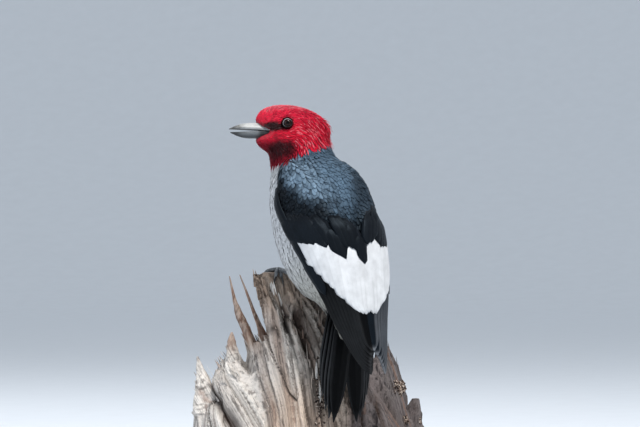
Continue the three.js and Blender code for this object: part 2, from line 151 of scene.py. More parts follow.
def inBody(p):
    return (p - bodyCentre) @ bodyAxes.T


def headPoint(p):
    return p @ headAxes + headCentre


def inHead(p):
    return (p - headCentre) @ headAxes.T


def tailPoint(p):
    return p @ tailAxes + tailRoot


# the perch's frame: across the broad face, away from the camera, up
def inPerch(p):
    return p @ perchAxes.T


def perchPoint(p):
    return p @ perchAxes


# factors that take a point on the bird's left, side 1, to its own side
def mirror(side):
    return np.array([side, 1, 1])


# the slanting plane where the red hood ends
hoodSpot = np.array([0, -18, 221.6])
hoodNormal = np.array([0.31, -0.29, 1]) / np.linalg.norm([0.31, -0.29, 1])


def aboveHood(points):
    return (points - hoodSpot) @ hoodNormal


# z, the middle's y, half width, half depth, inner and lower angle down the folded wing
wingRows = [
    [53, 1.0, 25.0, 24.5, 62, 74],
    [46, 1.2, 28.6, 28.0, 50, 86],
    [29, 1.4, 33.2, 33.8, 38, 92],
    [10, 0.6, 34.6, 34.2, 24, 89],
    [-8, 0, 34.2, 31.4, 8, 83],
    [-25, 0, 32.0, 26.0, 2.5, 79],
    [-43, 0, 26.8, 19.4, 2, 78],
    [-60, -3, 21.8, 15.8, 2.5, 74],
    [-78, -6, 16.6, 13.4, 6, 62],
    [-89, -6.5, 12.6, 10.6, 13, 48],
    [-95.5, -6, 10.4, 8.4, 25, 38],
]
# where the black coverts end and where the white secondaries' tips come, lower edge to back;
# the two wings are not folded quite alike
panelRows = {
    1: np.transpose(
        [[0.385, 0.405, 0.43, 0.452, 0.498, 0.462, 0.52], [0.51, 0.572, 0.618, 0.655, 0.688, 0.702, 0.7]]
    ),
    -1: np.transpose(
        [[0.385, 0.405, 0.43, 0.45, 0.462, 0.436, 0.455], [0.51, 0.572, 0.615, 0.645, 0.672, 0.69, 0.698]]
    ),
}


# a point on the left wing's outer face, in the body's frame; lift is how far it stands off
def wingPlace(s, v, lift):
    z, middle, wide, deep, inner, lower = np.moveaxis(smoothRows(wingRows, s), -1, 0)
    angle = np.radians(mix(lower, inner, v))
    n = unit(np.stack([np.sin(angle) / wide, np.cos(angle) / deep], -1))
    x = wide * np.sin(angle) + lift * n[..., 0]
    y = middle + deep * np.cos(angle) + lift * n[..., 1]
    return np.stack([x, y, z], -1)


wingTable = np.linspace(0, 1, 201)
wingTableZ = smoothRows(wingRows, wingTable)[:, 0]
wingSpan = wingRows[0][0] - wingRows[-1][0]


# the reverse: how far along and across the wing a point in the body's frame lies
def wingSpot(p):
    s = np.interp(-p[:, 2], -wingTableZ, wingTable)
    middle, wide, deep, inner, lower = smoothRows(wingRows, s).T[1:]
    angle = np.degrees(np.arctan2(np.abs(p[:, 0]) / wide, (p[:, 1] - middle) / deep))
    s = np.where(p[:, 2] > wingTableZ[0], -(p[:, 2] - wingTableZ[0]) / 140, s)
    return s, (angle - lower) / (inner - lower)


def shadeSmooth(mesh, smooth=True):
    mesh.polygons.foreach_set("use_smooth", np.full(len(mesh.polygons), smooth))


def newMesh(name, points, faces, sides=4):
    mesh = bpy.data.meshes.new(name)
    faces = np.asarray(faces, np.int32)
    mesh.vertices.add(len(points))
    mesh.vertices.foreach_set("co", (np.asarray(points, float) * 0.001).astype(np.float32).ravel())
    mesh.loops.add(faces.size)
    mesh.loops.foreach_set("vertex_index", faces.ravel())
    mesh.polygons.add(len(faces))
    mesh.polygons.foreach_set("loop_start", np.arange(0, faces.size, sides, dtype=np.int32))
    mesh.update(calc_edges=True)
    mesh.validate()
    shadeSmooth(mesh)
    return mesh


def paint(mesh, name, colours):
    layer = mesh.color_attributes.new(name, "FLOAT_COLOR", "POINT")
    full = np.ones((len(mesh.vertices), 4), np.float32)
    full[:, :3] = np.clip(colours, 0, 1)
    layer.data.foreach_set("color", full.ravel())


# keeps one number, or one vector, for each point
def store(mesh, name, values):
    kind, key = ("FLOAT", "value") if values.ndim == 1 else ("FLOAT_VECTOR", "vector")
    layer = mesh.attributes.new(name, kind, "POINT")
    layer.data.foreach_set(key, values.astype(np.float32).ravel())


def addMap(mesh, name, perLoop):
    layer = mesh.uv_layers.new(name=name)
    layer.data.foreach_set("uv", np.asarray(perLoop, np.float32).ravel())


def loopVertices(mesh):
    index = np.zeros(len(mesh.loops), np.int32)
    mesh.loops.foreach_get("vertex_index", index)
    return index


def meshPoints(mesh):
    co = np.zeros(len(mesh.vertices) * 3, np.float32)
    mesh.vertices.foreach_get("co", co)
    return co.reshape(-1, 3).astype(float) * 1000


def meshNormals(mesh):
    normals = np.zeros(len(mesh.vertices) * 3, np.float32)
    mesh.vertex_normals.foreach_get("vector", normals)
    return normals.reshape(-1, 3).astype(float)


def setPoints(mesh, points):
    mesh.vertices.foreach_set("co", (points * 0.001).astype(np.float32).ravel())
    mesh.update()


def surfaceTree(mesh, points):
    return BVHTree.FromPolygons(points.tolist(), [tuple(p.vertices) for p in mesh.polygons])


def addPiece(name, mesh, material, slot, replaced=()):
    piece = bpy.data.objects.new(name, mesh)
    bpy.context.scene.collection.objects.link(piece)
    mesh.materials.clear()
    mesh.materials.append(material)
    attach(piece, "root")
    if replaced:
        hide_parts(*replaced)


# a mesh from a bmesh, which is freed
def meshFrom(name, bm):
    mesh = bpy.data.meshes.new(name)
    bm.to_mesh(mesh)
    bm.free()
    return mesh


# one closed skin round copies of CAD nodes, each let out a little so that the gaps close
def wrapped(names, letOut, voxel, cut=None):
    whole = bmesh.new()
    for name in names:
        part = bmesh.new()
        part.from_mesh(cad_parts[name].data)
        bmesh.ops.remove_doubles(part, verts=part.verts, dist=1e-6)
        if cut and name in cut:
            spot, direction = cut[name]
            every = part.verts[:] + part.edges[:] + part.faces[:]
            bmesh.ops.bisect_plane(part, geom=every, plane_co=spot, plane_no=direction, clear_outer=True)
            bmesh.ops.holes_fill(part, edges=[e for e in part.edges if e.is_boundary], sides=0)
            bmesh.ops.triangulate(part, faces=part.faces)
        part.normal_update()
        for vert, normal in [(v, v.normal.copy()) for v in part.verts]:
            vert.co += normal * letOut * 0.001
        loose = meshFrom("loose", part)
        whole.from_mesh(loose)
        bpy.data.meshes.remove(loose)
    mesh = meshFrom("wrapped", whole)
    holder = bpy.data.objects.new("wrapped", mesh)
    bpy.context.scene.collection.objects.link(holder)
    remesh = holder.modifiers.new("remesh", "REMESH")
    remesh.mode = "VOXEL"
    remesh.voxel_size = voxel * 0.001
    bpy.context.view_layer.update()
    done = holder.evaluated_get(bpy.context.evaluated_depsgraph_get())
    result = bpy.data.meshes.new_from_object(done)
    bpy.data.objects.remove(holder)
    bpy.data.meshes.remove(mesh)
    shadeSmooth(result)
    return result


def meshEdges(mesh):
    edges = np.zeros(len(mesh.edges) * 2, np.int32)
    mesh.edges.foreach_get("vertices", edges)
    return edges.reshape(-1, 2)


# evens out a mesh; hold is 1 where a point stays
def relaxed(points, edges, rounds, hold=None, strength=0.5):
    count = len(points)
    degree = np.bincount(edges.ravel(), minlength=count)[:, None]
    free = strength if hold is None else strength * (1 - hold)[:, None]
    for _ in range(rounds):
        total = np.stack(
            [
                np.bincount(edges[:, 0], points[edges[:, 1], axis], count)
                + np.bincount(edges[:, 1], points[edges[:, 0], axis], count)
                for axis in range(3)
            ],
            1,
        )
        points = points + free * (total / np.maximum(degree, 1) - points)
    return points


def newMaterial(name, **sockets):
    material = bpy.data.materials.new(name)
    material.use_nodes = True
    shader = material.node_tree.nodes["Principled BSDF"]
    for socket, value in sockets.items():
        shader.inputs[socket.replace("_", " ")].default_value = value
    return material, material.node_tree, shader


# Adds a node and gives its first output, or the one named. Links fill its inputs in order or by
# name, with a value or another node's output. Stops are the places and shades of a colour ramp.
# A noise's scale on Object coordinates is its cells to the metre, so 1000 is one each millimetre.
def addNode(tree, kind, links=(), output=0, stops=(), **settings):
    node = tree.nodes.new("ShaderNode" + kind)
    for key, value in settings.items():
        setattr(node, key, value)
    for key, value in links.items() if isinstance(links, dict) else enumerate(links):
        if isinstance(value, bpy.types.NodeSocket):
            tree.links.new(value, node.inputs[key])
        else:
            node.inputs[key].default_value = value
    ramp = node.color_ramp.elements if stops else []
    while len(ramp) < len(stops):
        ramp.new(0.5)
    for element, (position, shade) in zip(ramp, stops):
        element.position = position
        element.color = (*linear(shade), 1)
    return node.outputs[output]


# gives the surface its colour and, from a height, relief that is deep mm high
def finishSurface(tree, shader, shade, height=None, strength=0.0, deep=0.0):
    tree.links.new(shade, shader.inputs["Base Color"])
    if height is not None:
        links = {"Height": height, "Strength": strength, "Distance": deep * 0.001}
        tree.links.new(addNode(tree, "Bump", links), shader.inputs["Normal"])


# Feather vanes: the colour comes with each feather, and the barbs run out from the shaft at a
# slant. Barbs are really 0.2 mm apart; they are drawn barbGap mm apart so that they show. The
# Vane map has 0.1 for each mm, so turn is ten millimetres' worth of radians.
barbForm = {"slant": -1.3, "ragged": 0.05, "turn": 62.8}


def featherMaterial(name, barbGap, depth, contrast, **sockets):
    material, tree, shader = newMaterial(name, **sockets)
    across = addNode(tree, "SeparateXYZ", [addNode(tree, "UVMap", uv_map="Vane")], "X")
    outwards = addNode(tree, "Math", [across, 0.5], operation="SUBTRACT")
    away = addNode(tree, "Math", [outwards], operation="ABSOLUTE")
    slant = addNode(tree, "Math", [away, barbForm["slant"]], operation="MULTIPLY")
    along = addNode(tree, "Math", [across.node.outputs["Y"], slant], operation="ADD")
    solid = addNode(tree, "TexCoord", output="Object")
    ragged = addNode(tree, "TexNoise", {"Vector": solid, "Scale": 900.0, "Detail": 2.0})
    wander = addNode(tree, "Math", [ragged, barbForm["ragged"], along], operation="MULTIPLY_ADD")
    turns = addNode(tree, "Math", [wander, barbForm["turn"] / barbGap], operation="MULTIPLY")
    barbs = addNode(tree, "Math", [turns], operation="SINE")
    level = addNode(tree, "MapRange", [barbs, -1.0, 1.0, 1.0 - contrast, 1.0])
    blotch = addNode(tree, "TexNoise", {"Vector": solid, "Scale": 160.0, "Detail": 3.0})
    patch = addNode(tree, "MapRange", [blotch, 0.3, 0.7, 0.86, 1.1])
    shade = addNode(tree, "Math", [level, patch], operation="MULTIPLY")
    own = addNode(tree, "Attribute", attribute_name="plumage")
    tone = addNode(tree, "VectorMath", {0: own, "Scale": shade}, operation="SCALE")
    finishSurface(tree, shader, tone, barbs, 0.35, depth)
    return material


# red hood: soft, loose, hair-like feathers with hardly any gloss
redFeather = featherMaterial(
    "crimsonLooseFeather", 0.5, 0.06, 0.35, Roughness=0.6, Sheen_Weight=0.06, Sheen_Roughness=0.35,
    Sheen_Tint=(1.0, 0.4, 0.5, 1), Specular_IOR_Level=0.1,
)
# white underside and secondaries: matt, open barbs that scatter light
whiteFeather = featherMaterial(
    "whiteMattFeather", 0.6, 0.05, 0.08, Roughness=0.72, Sheen_Weight=0.15, Specular_IOR_Level=0.3,
)
# blue-black back: tight barbs with a steely gloss
blackFeather = featherMaterial(
    "steelBlackFeather", 0.55, 0.04, 0.3, Roughness=0.45, Specular_IOR_Level=0.13,
    Specular_Tint=(0.6, 0.8, 1.0, 1), Sheen_Weight=0.03, Sheen_Roughness=0.35, Sheen_Tint=(0.6, 0.75, 1.0, 1),
)
# stiff black flight and tail quills, smoother than the body feathers
quillBlack = featherMaterial(
    "stiffBlackQuill", 0.7, 0.03, 0.3, Roughness=0.5, Specular_IOR_Level=0.05,
)
print("materials made")


# bare skin between the feathers: leathery, only glimpsed, in the coat's own colours
def skinMaterial():
    material, tree, shader = newMaterial("birdSkin", Roughness=0.8)
    solid = addNode(tree, "TexCoord", output="Object")
    own = addNode(tree, "Attribute", attribute_name="plumage")
    pores = addNode(tree, "TexNoise", {"Vector": solid, "Scale": 1400.0, "Detail": 3.0})
    level = addNode(tree, "MapRange", [pores, 0.0, 1.0, 0.7, 1.1])
    tone = addNode(tree, "VectorMath", {0: own, "Scale": level}, operation="SCALE")
    finishSurface(tree, shader, tone, pores, 0.5, 0.2)
    return material


plumageShades = {
    "crownHighlightRed": colour("#f02648"),
    "cheekRed": colour("#e41a3a"),
    "chinShadeRed": colour("#78081f"),
    "throatShadeRed": colour("#200208"),
    "deepRed": colour("#6a0819"),
    "lore": colour("#0c0406"),
    "fleckAndHighlightPink": colour("#ff8c98"),
    "white": colour("#c8cacd"),
    "shadedBellyWhite": colour("#9b9a92"),
    "shoulder": colour("#8ba3b8"),
    "mantle": colour("#52677a"),
    "mantleDark": colour("#0d141b"),
    "covert": colour("#0b0d11"),
    "quill": colour("#050608"),
    "quillEdge": colour("#8d8f92"),
    "wornEdge": colour("#a3a7ae"),
}
# in the head's frame: the left eyeball's centre, its outermost point and the way it looks
eyeSpot = np.array([9.3, -4.7, 1.1])
eyeFront = np.array([12.4, -4.7, 1.1])
eyeLook = np.array([1, -0.22, 0.05])
eyeBall = 3.9
# the middle of the bill's root, and a place in the bill that the face's feathers point away from
billSpot = np.array([0, -15, -3.3])
billMiddle = np.array([0, -27, -3.3])
billHalf = {"wide": 4.6, "high": 4.4}


def fromEye(head):
    outwards = np.stack([np.abs(head[:, 0]), head[:, 1], head[:, 2]], 1)
    return np.linalg.norm(outwards - eyeFront, axis=1)


# how far out of the bill's oval section a point lies: 1 on its surface
def fromBill(head):
    return np.hypot(head[:, 0] / billHalf["wide"], (head[:, 2] - billSpot[2]) / billHalf["high"])


# 0 hood, 1 white underside, 2 dark back and wing
def tractAt(points):
    body = inBody(points)
    v = wingSpot(body)[1]
    edge = 0.02 * valueNoise(points / 5, 3)
    above = aboveHood(points) + 1.2 * valueNoise(points / 3, 5)
    dark = (v > edge) & (body[:, 2] > -64) & ((v < 1.0) | (body[:, 2] > -30))
    dark |= (body[:, 1] > 11) & (body[:, 2] > 30)
    return np.where(above > 0, 0, np.where(dark, 2, 1))


# the hood: crimson, with a painted highlight brightening the crown, painted shade darkening the chin and
# throat, and dark lores
def hoodShade(points):
    shades = plumageShades
    head = inHead(points)
    y, z = head[:, 1], head[:, 2]
    # painted highlight: brighter red over the crown, pinker at its top
    crownHighlight = smoothStep(-2, 8, z)[:, None]
    # painted shade under the head: darker red on the chin, near black on the throat
    chinShade = (smoothStep(-7, -14, z) * smoothStep(3, -5, y))[:, None]
    throatGap = np.hypot((y + 8) / 8.5, (z + 16) / 8) + 0.25 * valueNoise(points / 2.5, 25)
    throatShade = smoothStep(1.15, 0.4, throatGap)[:, None]
    red = mix(shades["cheekRed"], shades["crownHighlightRed"], crownHighlight)
    red = mix(red, shades["fleckAndHighlightPink"], 0.5 * smoothStep(7, 14, z + 1.5 * valueNoise(points / 3, 23))[:, None])
    red = mix(mix(red, shades["chinShadeRed"], 0.85 * chinShade), shades["throatShadeRed"], 0.9 * throatShade)
    mottle = valueNoise(points / 1.6, 11)[:, None]
    red = mix(red, shades["deepRed"], 0.4 * smoothStep(0.1, 0.7, mottle))
    lorePlace = [(y + 13.0) / 10, (z + 0.6 - 0.04 * (y + 6)) / 3.4, (np.abs(head[:, 0]) - 8) / 8]
    loreGap = np.linalg.norm(np.stack(lorePlace, 1), axis=1) + 0.2 * valueNoise(points / 1.2, 13)
    ring = smoothStep(5.0, 3.0, fromEye(head)) * smoothStep(6, 0, y - eyeFront[1])
    lore = np.maximum(0.97 * smoothStep(1.25, 0.55, loreGap), 0.9 * ring)[:, None]
    return mix(red, shades["lore"], lore)


# the underside: white, with painted shade making the belly greyer, and a dark vent
def undersideShade(points):
    body = inBody(points)
    belly = smoothStep(10, -50, body[:, 2])[:, None]
    white = mix(plumageShades["white"], plumageShades["shadedBellyWhite"], belly)
    vent = smoothStep(-41, -47, body[:, 2]) * smoothStep(-13, -9, body[:, 1])
    white = mix(white, plumageShades["covert"], vent[:, None])
    return white * (1 - 0.05 * (1 + valueNoise(points / 4, 17)[:, None]))


# the mantle is steel blue above a slanting line over the back, partly its own blue and partly painted sheen,
# and nearly black below it
def backShade(points):
    shades = plumageShades
    body, u = inBody(points), inPerch(points)[:, 0]
    above = points[:, 2] - 214 + 0.69 * (u + 22) + 5 * valueNoise(points / 9, 7)
    streak = valueNoise(body / [1.3, 1.3, 5.5], 9)
    # painted shade: the right side is darkened
    high = smoothStep(-14, 9, above + 6 * streak) * (1 - 0.75 * smoothStep(15, 25, u))
    dark = mix(shades["covert"], shades["mantle"], high[:, None])
    # painted highlight: a pale band along the shoulder
    shoulder = smoothStep(-10, 0, above) * smoothStep(24, 8, above) * smoothStep(12, -6, u)
    dark = mix(dark, shades["shoulder"], (0.6 * shoulder * smoothStep(-1.2, 0.5, streak))[:, None])
    stripe = smoothStep(-0.3, 0.8, valueNoise(body / [1.6, 1.6, 7], 19))
    return mix(dark, shades["mantleDark"], (0.42 * stripe)[:, None])


def plumageAt(points, tract=None):
    tract = tractAt(points) if tract is None else tract
    return np.choose(tract[:, None], [hoodShade(points), undersideShade(points), backShade(points)])


# The bill is bare beyond this line: how far forward the feathers come at each height on it.
faceLine = {
    "height": [-5.6, -4.7, -2, 0, 2.5, 4.5, 5.4],
    "reach": [24, 17.5, 15, 14.2, 17.5, 21, 24],
    "half": 9,
}


def pastFaceLine(head, margin=0.0):
    rise = head[:, 2] - billSpot[2]
    lowest, highest = faceLine["height"][0], faceLine["height"][-1]
    reach = np.interp(rise, faceLine["height"], faceLine["reach"])
    inside = (rise > lowest) & (rise < highest) & (np.abs(head[:, 0]) < faceLine["half"])
    return (-head[:, 1] > reach + margin) & inside


ankle = np.array([10.6, -13, 147.0])
thighTop = np.array([13.5, 2, 158.0])


# the way feathers lie: back from the bill, down the neck and the body, and along the thighs
def featherFlow(points, normals):
    neckDown = np.array([-0.05, 0.12, -1])
    fromFace = points - headPoint(billMiddle)
    reach = np.linalg.norm(inHead(points) - billSpot, axis=1)
    backwards = np.array([-math.sin(headTurn), math.cos(headTurn), 0])
    onHead = mix(unit(fromFace), unit(0.35 * backwards + neckDown), smoothStep(13, 30, reach)[:, None])
    above = aboveHood(points)
    flow = mix(np.broadcast_to(bodyDown, points.shape), neckDown, smoothStep(-16, 4, above)[:, None])
    flow = mix(flow, onHead, smoothStep(4, 16, above)[:, None])
    for side in (1, -1):
        leg = (ankle - thighTop) * mirror(side)
        top = thighTop * mirror(side)
        t = np.clip((points - top) @ leg / (leg @ leg), 0, 1)
        gap = np.linalg.norm(points - top - t[:, None] * leg, axis=1)
        near = smoothStep(11, 7, gap) * smoothStep(0.1, 0.5, t)
        flow = mix(flow, unit(leg), near[:, None])
    return unit(flow - dot(flow, normals) * normals)


print("helpers ready")


# sizes in mm and angles in degrees from where the eye looks; socket is how far the lids reach out
# from the eyeball, sunk how deep the opening lies, lid the lids' height over the eyeball
skinSettings = {
    "nodes": ["head", "neck", "trunk", "mantle", "thigh_left", "thigh_right", "wing_left", "wing_right"],
    "letOut": 0.5,
    "voxel": 0.9,
    "rounds": 40,
    "wingCut": -22.0,
    "margin": 0.1,
    "eyeOpening": 43.0,
    "lidFade": 52.0,
    "lidReach": 78.0,
    "socket": 2.2,
    "sunk": 0.9,
    "lid": (0.2, 0.55),
    "billShare": 0.55,
    "billEnd": -19,
}


# how deep the coat is at each point: thin on the face, deeper on the body
def coatDepth(points):
    head = inHead(points)
    away = np.linalg.norm(head - billSpot, axis=1)
    above = aboveHood(points)
    headDepth = mix(0.35, 1.0, smoothStep(6, 24, away))
    return mix(1.7, headDepth, smoothStep(-4, 12, above))


# presses the skin into a socket round each eyeball, open where the eye looks out
def shapeLids(points):
    opened, fade, end = (skinSettings[key] for key in ("eyeOpening", "lidFade", "lidReach"))
    low, high = skinSettings["lid"]
    for side in (1, -1):
        centre = headPoint(eyeSpot * mirror(side))
        look = unit(eyeLook * mirror(side) @ headAxes)
        out = points - centre
        reach = np.linalg.norm(out, axis=1)
        angle = np.degrees(np.arccos(np.clip(out @ look / np.maximum(reach, 1e-6), -1, 1)))
        near = reach < eyeBall + skinSettings["socket"]
        opening = near & (angle < opened)
        cover = near & (angle >= opened) & (angle < end)
        lid = np.clip(reach, eyeBall + low, eyeBall + high)
        target = np.where(opening, eyeBall - skinSettings["sunk"], lid)
        hold = np.where(opening, 1.0, np.where(cover, smoothStep(end, fade, angle), 0.0))
        points = mix(points, centre + unit(out) * target[:, None], hold[:, None])
    return points


# draws the skin in round the root of the bill, so that the bill's sides are bare
def tuckedAtBill(points):
    head = inHead(points)
    bare = pastFaceLine(head)
    shrink = np.minimum(1, skinSettings["billShare"] / np.maximum(fromBill(head), 1e-6))
    shrink = np.where(bare, shrink, 1)
    tucked = head.copy()
    tucked[:, 0] *= shrink
    tucked[:, 2] = (head[:, 2] - billSpot[2]) * shrink + billSpot[2]
    tucked[:, 1] = np.where(bare, np.maximum(head[:, 1], skinSettings["billEnd"]), head[:, 1])
    return headPoint(tucked)


def buildSkin():
    settings = skinSettings
    spot = Vector(bodyPoint(np.array([0, 0, settings["wingCut"]])) * 0.001)
    cut = {wing: (spot, Vector(bodyDown)) for wing in ("wing_left", "wing_right")}
    mesh = wrapped(settings["nodes"], settings["letOut"], settings["voxel"], cut)
    edges = meshEdges(mesh)
    points = relaxed(meshPoints(mesh), edges, settings["rounds"])
    setPoints(mesh, points)
    points = points - meshNormals(mesh) * (coatDepth(points) + settings["margin"])[:, None]
    points = shapeLids(tuckedAtBill(relaxed(points, edges, 6)))
    setPoints(mesh, points)
    base = plumageAt(points)
    paint(mesh, "plumage", base * mix(0.55, 0.85, smoothStep(0.3, 0.6, base[:, 1:2])))
    addPiece("skin", mesh, skinMaterial(), "white_feather", settings["nodes"])
    addMap(mesh, "OFBake", skinMap(mesh, points))
    return mesh, points


# The unwrap of the skin: the body's angle round its axis by its length on the left half, the
# head's angle round the neck by its height on the right half.
def unwrapSpot(points):
    head = aboveHood(points) > 0
    body = inBody(points)
    top = points - [4, -19, 236]
    around = np.where(head, np.arctan2(top[:, 0], -top[:, 1]), np.arctan2(body[:, 0], -body[:, 1]))
    trunkUp = (body[:, 2] + 105) / 190
    headUp = (points[:, 2] - 200) / 70
    up = np.where(head, headUp, trunkUp)
    return head, around / (2 * math.pi), np.clip(0.03 + 0.94 * up, 0.01, 0.99)


def mapAcross(spread, head):
    return 0.02 + 0.44 * spread + np.where(head, 0.5, 0)


def skinMap(mesh, points):
    head, around, up = unwrapSpot(points)
    index = loopVertices(mesh)
    count = np.zeros(len(mesh.polygons), np.int32)
    mesh.polygons.foreach_get("loop_total", count)
    first = np.repeat(np.cumsum(count) - count, count)
    lead = around[index[first]]
    turn = around[index] - lead
    turn = turn - np.round(turn)
    spread = np.clip(0.5 + lead + turn, -0.02, 1.02)
    return np.stack([np.clip(mapAcross(spread, head[index[first]]), 0, 1), up[index]], 1)


def rootMap(roots):
    head, around, up = unwrapSpot(roots)
    return np.stack([mapAcross(around + 0.5, head), up], 1)


skinMesh, skinPoints = buildSkin()
skinTree = surfaceTree(skinMesh, skinPoints)
print("skin made:", len(skinMesh.polygons), "faces")


# corners and normals of the skin's triangles
def skinTriangles():
    skinMesh.calc_loop_triangles()
    index = np.zeros(len(skinMesh.loop_triangles) * 3, np.int32)
    skinMesh.loop_triangles.foreach_get("vertices", index)
    corners = skinPoints[index.reshape(-1, 3)]
    return corners, meshNormals(skinMesh)[index.reshape(-1, 3)]


# candidates is how many roots are tried for each that fits; the rest is how deep a root sits under
# the skin and how much skin stays bare: the angle and reach round an eye, the face line's margin
coatSettings = {"candidates": 8, "sunk": 0.35, "eyeAngle": 47, "eyeReach": 8, "faceMargin": -0.4}
# length, width, spacing and tip height of the feathers, from one kind of place to another
coatSpans = {
    "belly": ([9.5, 3.4, 1.75, 0.75], [12.0, 4.2, 2.1, 0.85]),
    "back": ([7.4, 3.3, 1.6, 0.8], [9.6, 4.4, 2.0, 0.95]),
    "hood": ([1.9, 0.6, 0.52, 0.3], [4.2, 0.85, 0.8, 0.95]),
    "collar": [6.2, 1.5, 1.15, 1.3],
    "leg": [5.5, 2.4, 1.7, 1.0],
}


def coatSizes(points):
    spans = {kind: np.array(rows) for kind, rows in coatSpans.items()}
    head, body = inHead(points), inBody(points)
    above = aboveHood(points)
    away = np.linalg.norm(head - billSpot, axis=1)
    face = np.minimum(smoothStep(5, 22, away), smoothStep(2.5, 9, fromEye(head)))[:, None]
    nape = smoothStep(4, -12, above - 12)[:, None]
    s, v = wingSpot(body)
    onBack = (((v > 0) & (body[:, 1] > 0)) | ((v > 0) & (v < 1) & (s > 0.02)))[:, None]
    down = smoothStep(36, -30, body[:, 2])[:, None]
    sizes = np.where(onBack, mix(*spans["back"], down), mix(*spans["belly"], down))
    hood = mix(mix(*spans["hood"], face), spans["collar"], nape)
    sizes = mix(sizes, hood, smoothStep(-5, 3, above)[:, None])
    onLeft = np.stack([np.abs(points[:, 0]), points[:, 1], points[:, 2]], 1)
    leg = np.minimum(np.linalg.norm(onLeft - ankle, axis=1), 40)
    return mix(sizes, spans["leg"], smoothStep(13, 8, leg)[:, None])


# roots scattered over the skin so that none is closer than its own spacing
def scatterRoots():
    corners, normals = skinTriangles()
    middle = corners.mean(1)
    spacing = coatSizes(middle)[:, 2]
    first, second = (corners[:, i] - corners[:, 0] for i in (1, 2))
    area = 0.5 * np.linalg.norm(np.cross(first, second), axis=1)
    weight = area / spacing**2
    count = int(weight.sum() * coatSettings["candidates"])
    pick = chance.choice(len(area), count, p=weight / weight.sum())
    a, b = np.sqrt(chance.random(count)), chance.random(count)
    shares = np.stack([1 - a, a * (1 - b), a * b], 1)[..., None]
    spots = (corners[pick] * shares).sum(1)
    facing = unit((normals[pick] * shares).sum(1))
    gaps = coatSizes(spots)[:, 2]
    tree = KDTree(count)
    for i, spot in enumerate(spots.tolist()):
        tree.insert(spot, i)
    tree.balance()
    taken = np.zeros(count, bool)
    kept = []
    for i, spot in enumerate(spots.tolist()):
        if not taken[i]:
            kept.append(i)
            for _, j, _ in tree.find_range(spot, gaps[i]):
                taken[j] = True
    return spots[kept], facing[kept]


# A feather's section is a closed ring of points from its left edge over the shaft to its right
# edge and back below; its rows run from root to tip.
contourForm = {
    "across": [-1, -0.5, 0, 0.5, 1, 0],
    "above": [0, 0.75, 1.1, 0.75, 0, -0.5],
    "along": [0, 0.25, 0.5, 0.74, 0.91, 1.0],
    "half": [0.3, 0.78, 1.0, 0.96, 0.62, 0.16],
    "twist": 0.09,
}
tuftForm = {
    "across": [-1, 0, 1, 0],
    "above": [0, 1.0, 0, -0.6],
    "along": [0, 0.35, 0.7, 1.0],
    "half": [0.55, 1.0, 0.78, 0.1],
    "twist": 0.18,
}


def ringFaces(rows, ring):
    faces = []
    for r in range(rows - 1):
        for k in range(ring):
            j = (k + 1) % ring
            faces.append([r * ring + k, r * ring + j, (r + 1) * ring + j, (r + 1) * ring + k])
    last = (rows - 1) * ring
    for j in range(0, ring - 2, 2):
        faces.append([j, ring - 1, j + 2, j + 1])
        faces.append([last + j, last + j + 1, last + j + 2, last + ring - 1])
    return np.array(faces)


# faces turned so that they point outwards
def outwardFaces(points, faces):
    a, b, c, d = (points[faces[:, i]] for i in range(4))
    volume = np.sum(a * np.cross(b, c)) + np.sum(a * np.cross(c, d))
    return faces[:, ::-1] if volume < 0 else faces


# the same faces for each of count copies that have size points
def repeatedFaces(faces, size, count):
    return (faces[None] + (np.arange(count) * size)[:, None, None]).reshape(-1, faces.shape[1])


# a step of every feather along its flow, held to the skin
def nextSpots(spots, normals, flow, step, bend):
    hits = [skinTree.find_nearest(p) for p in (spots + flow * step[:, None]).tolist()]
    near, facing = (np.array([hit[i] for hit in hits]) for i in (0, 1))
    normals = unit(mix(normals, facing, 0.6))
    flow = unit(mix(flow, featherFlow(near, normals), 0.3) + np.cross(flow, normals) * bend)
    return near, normals, unit(flow - dot(flow, normals) * normals)


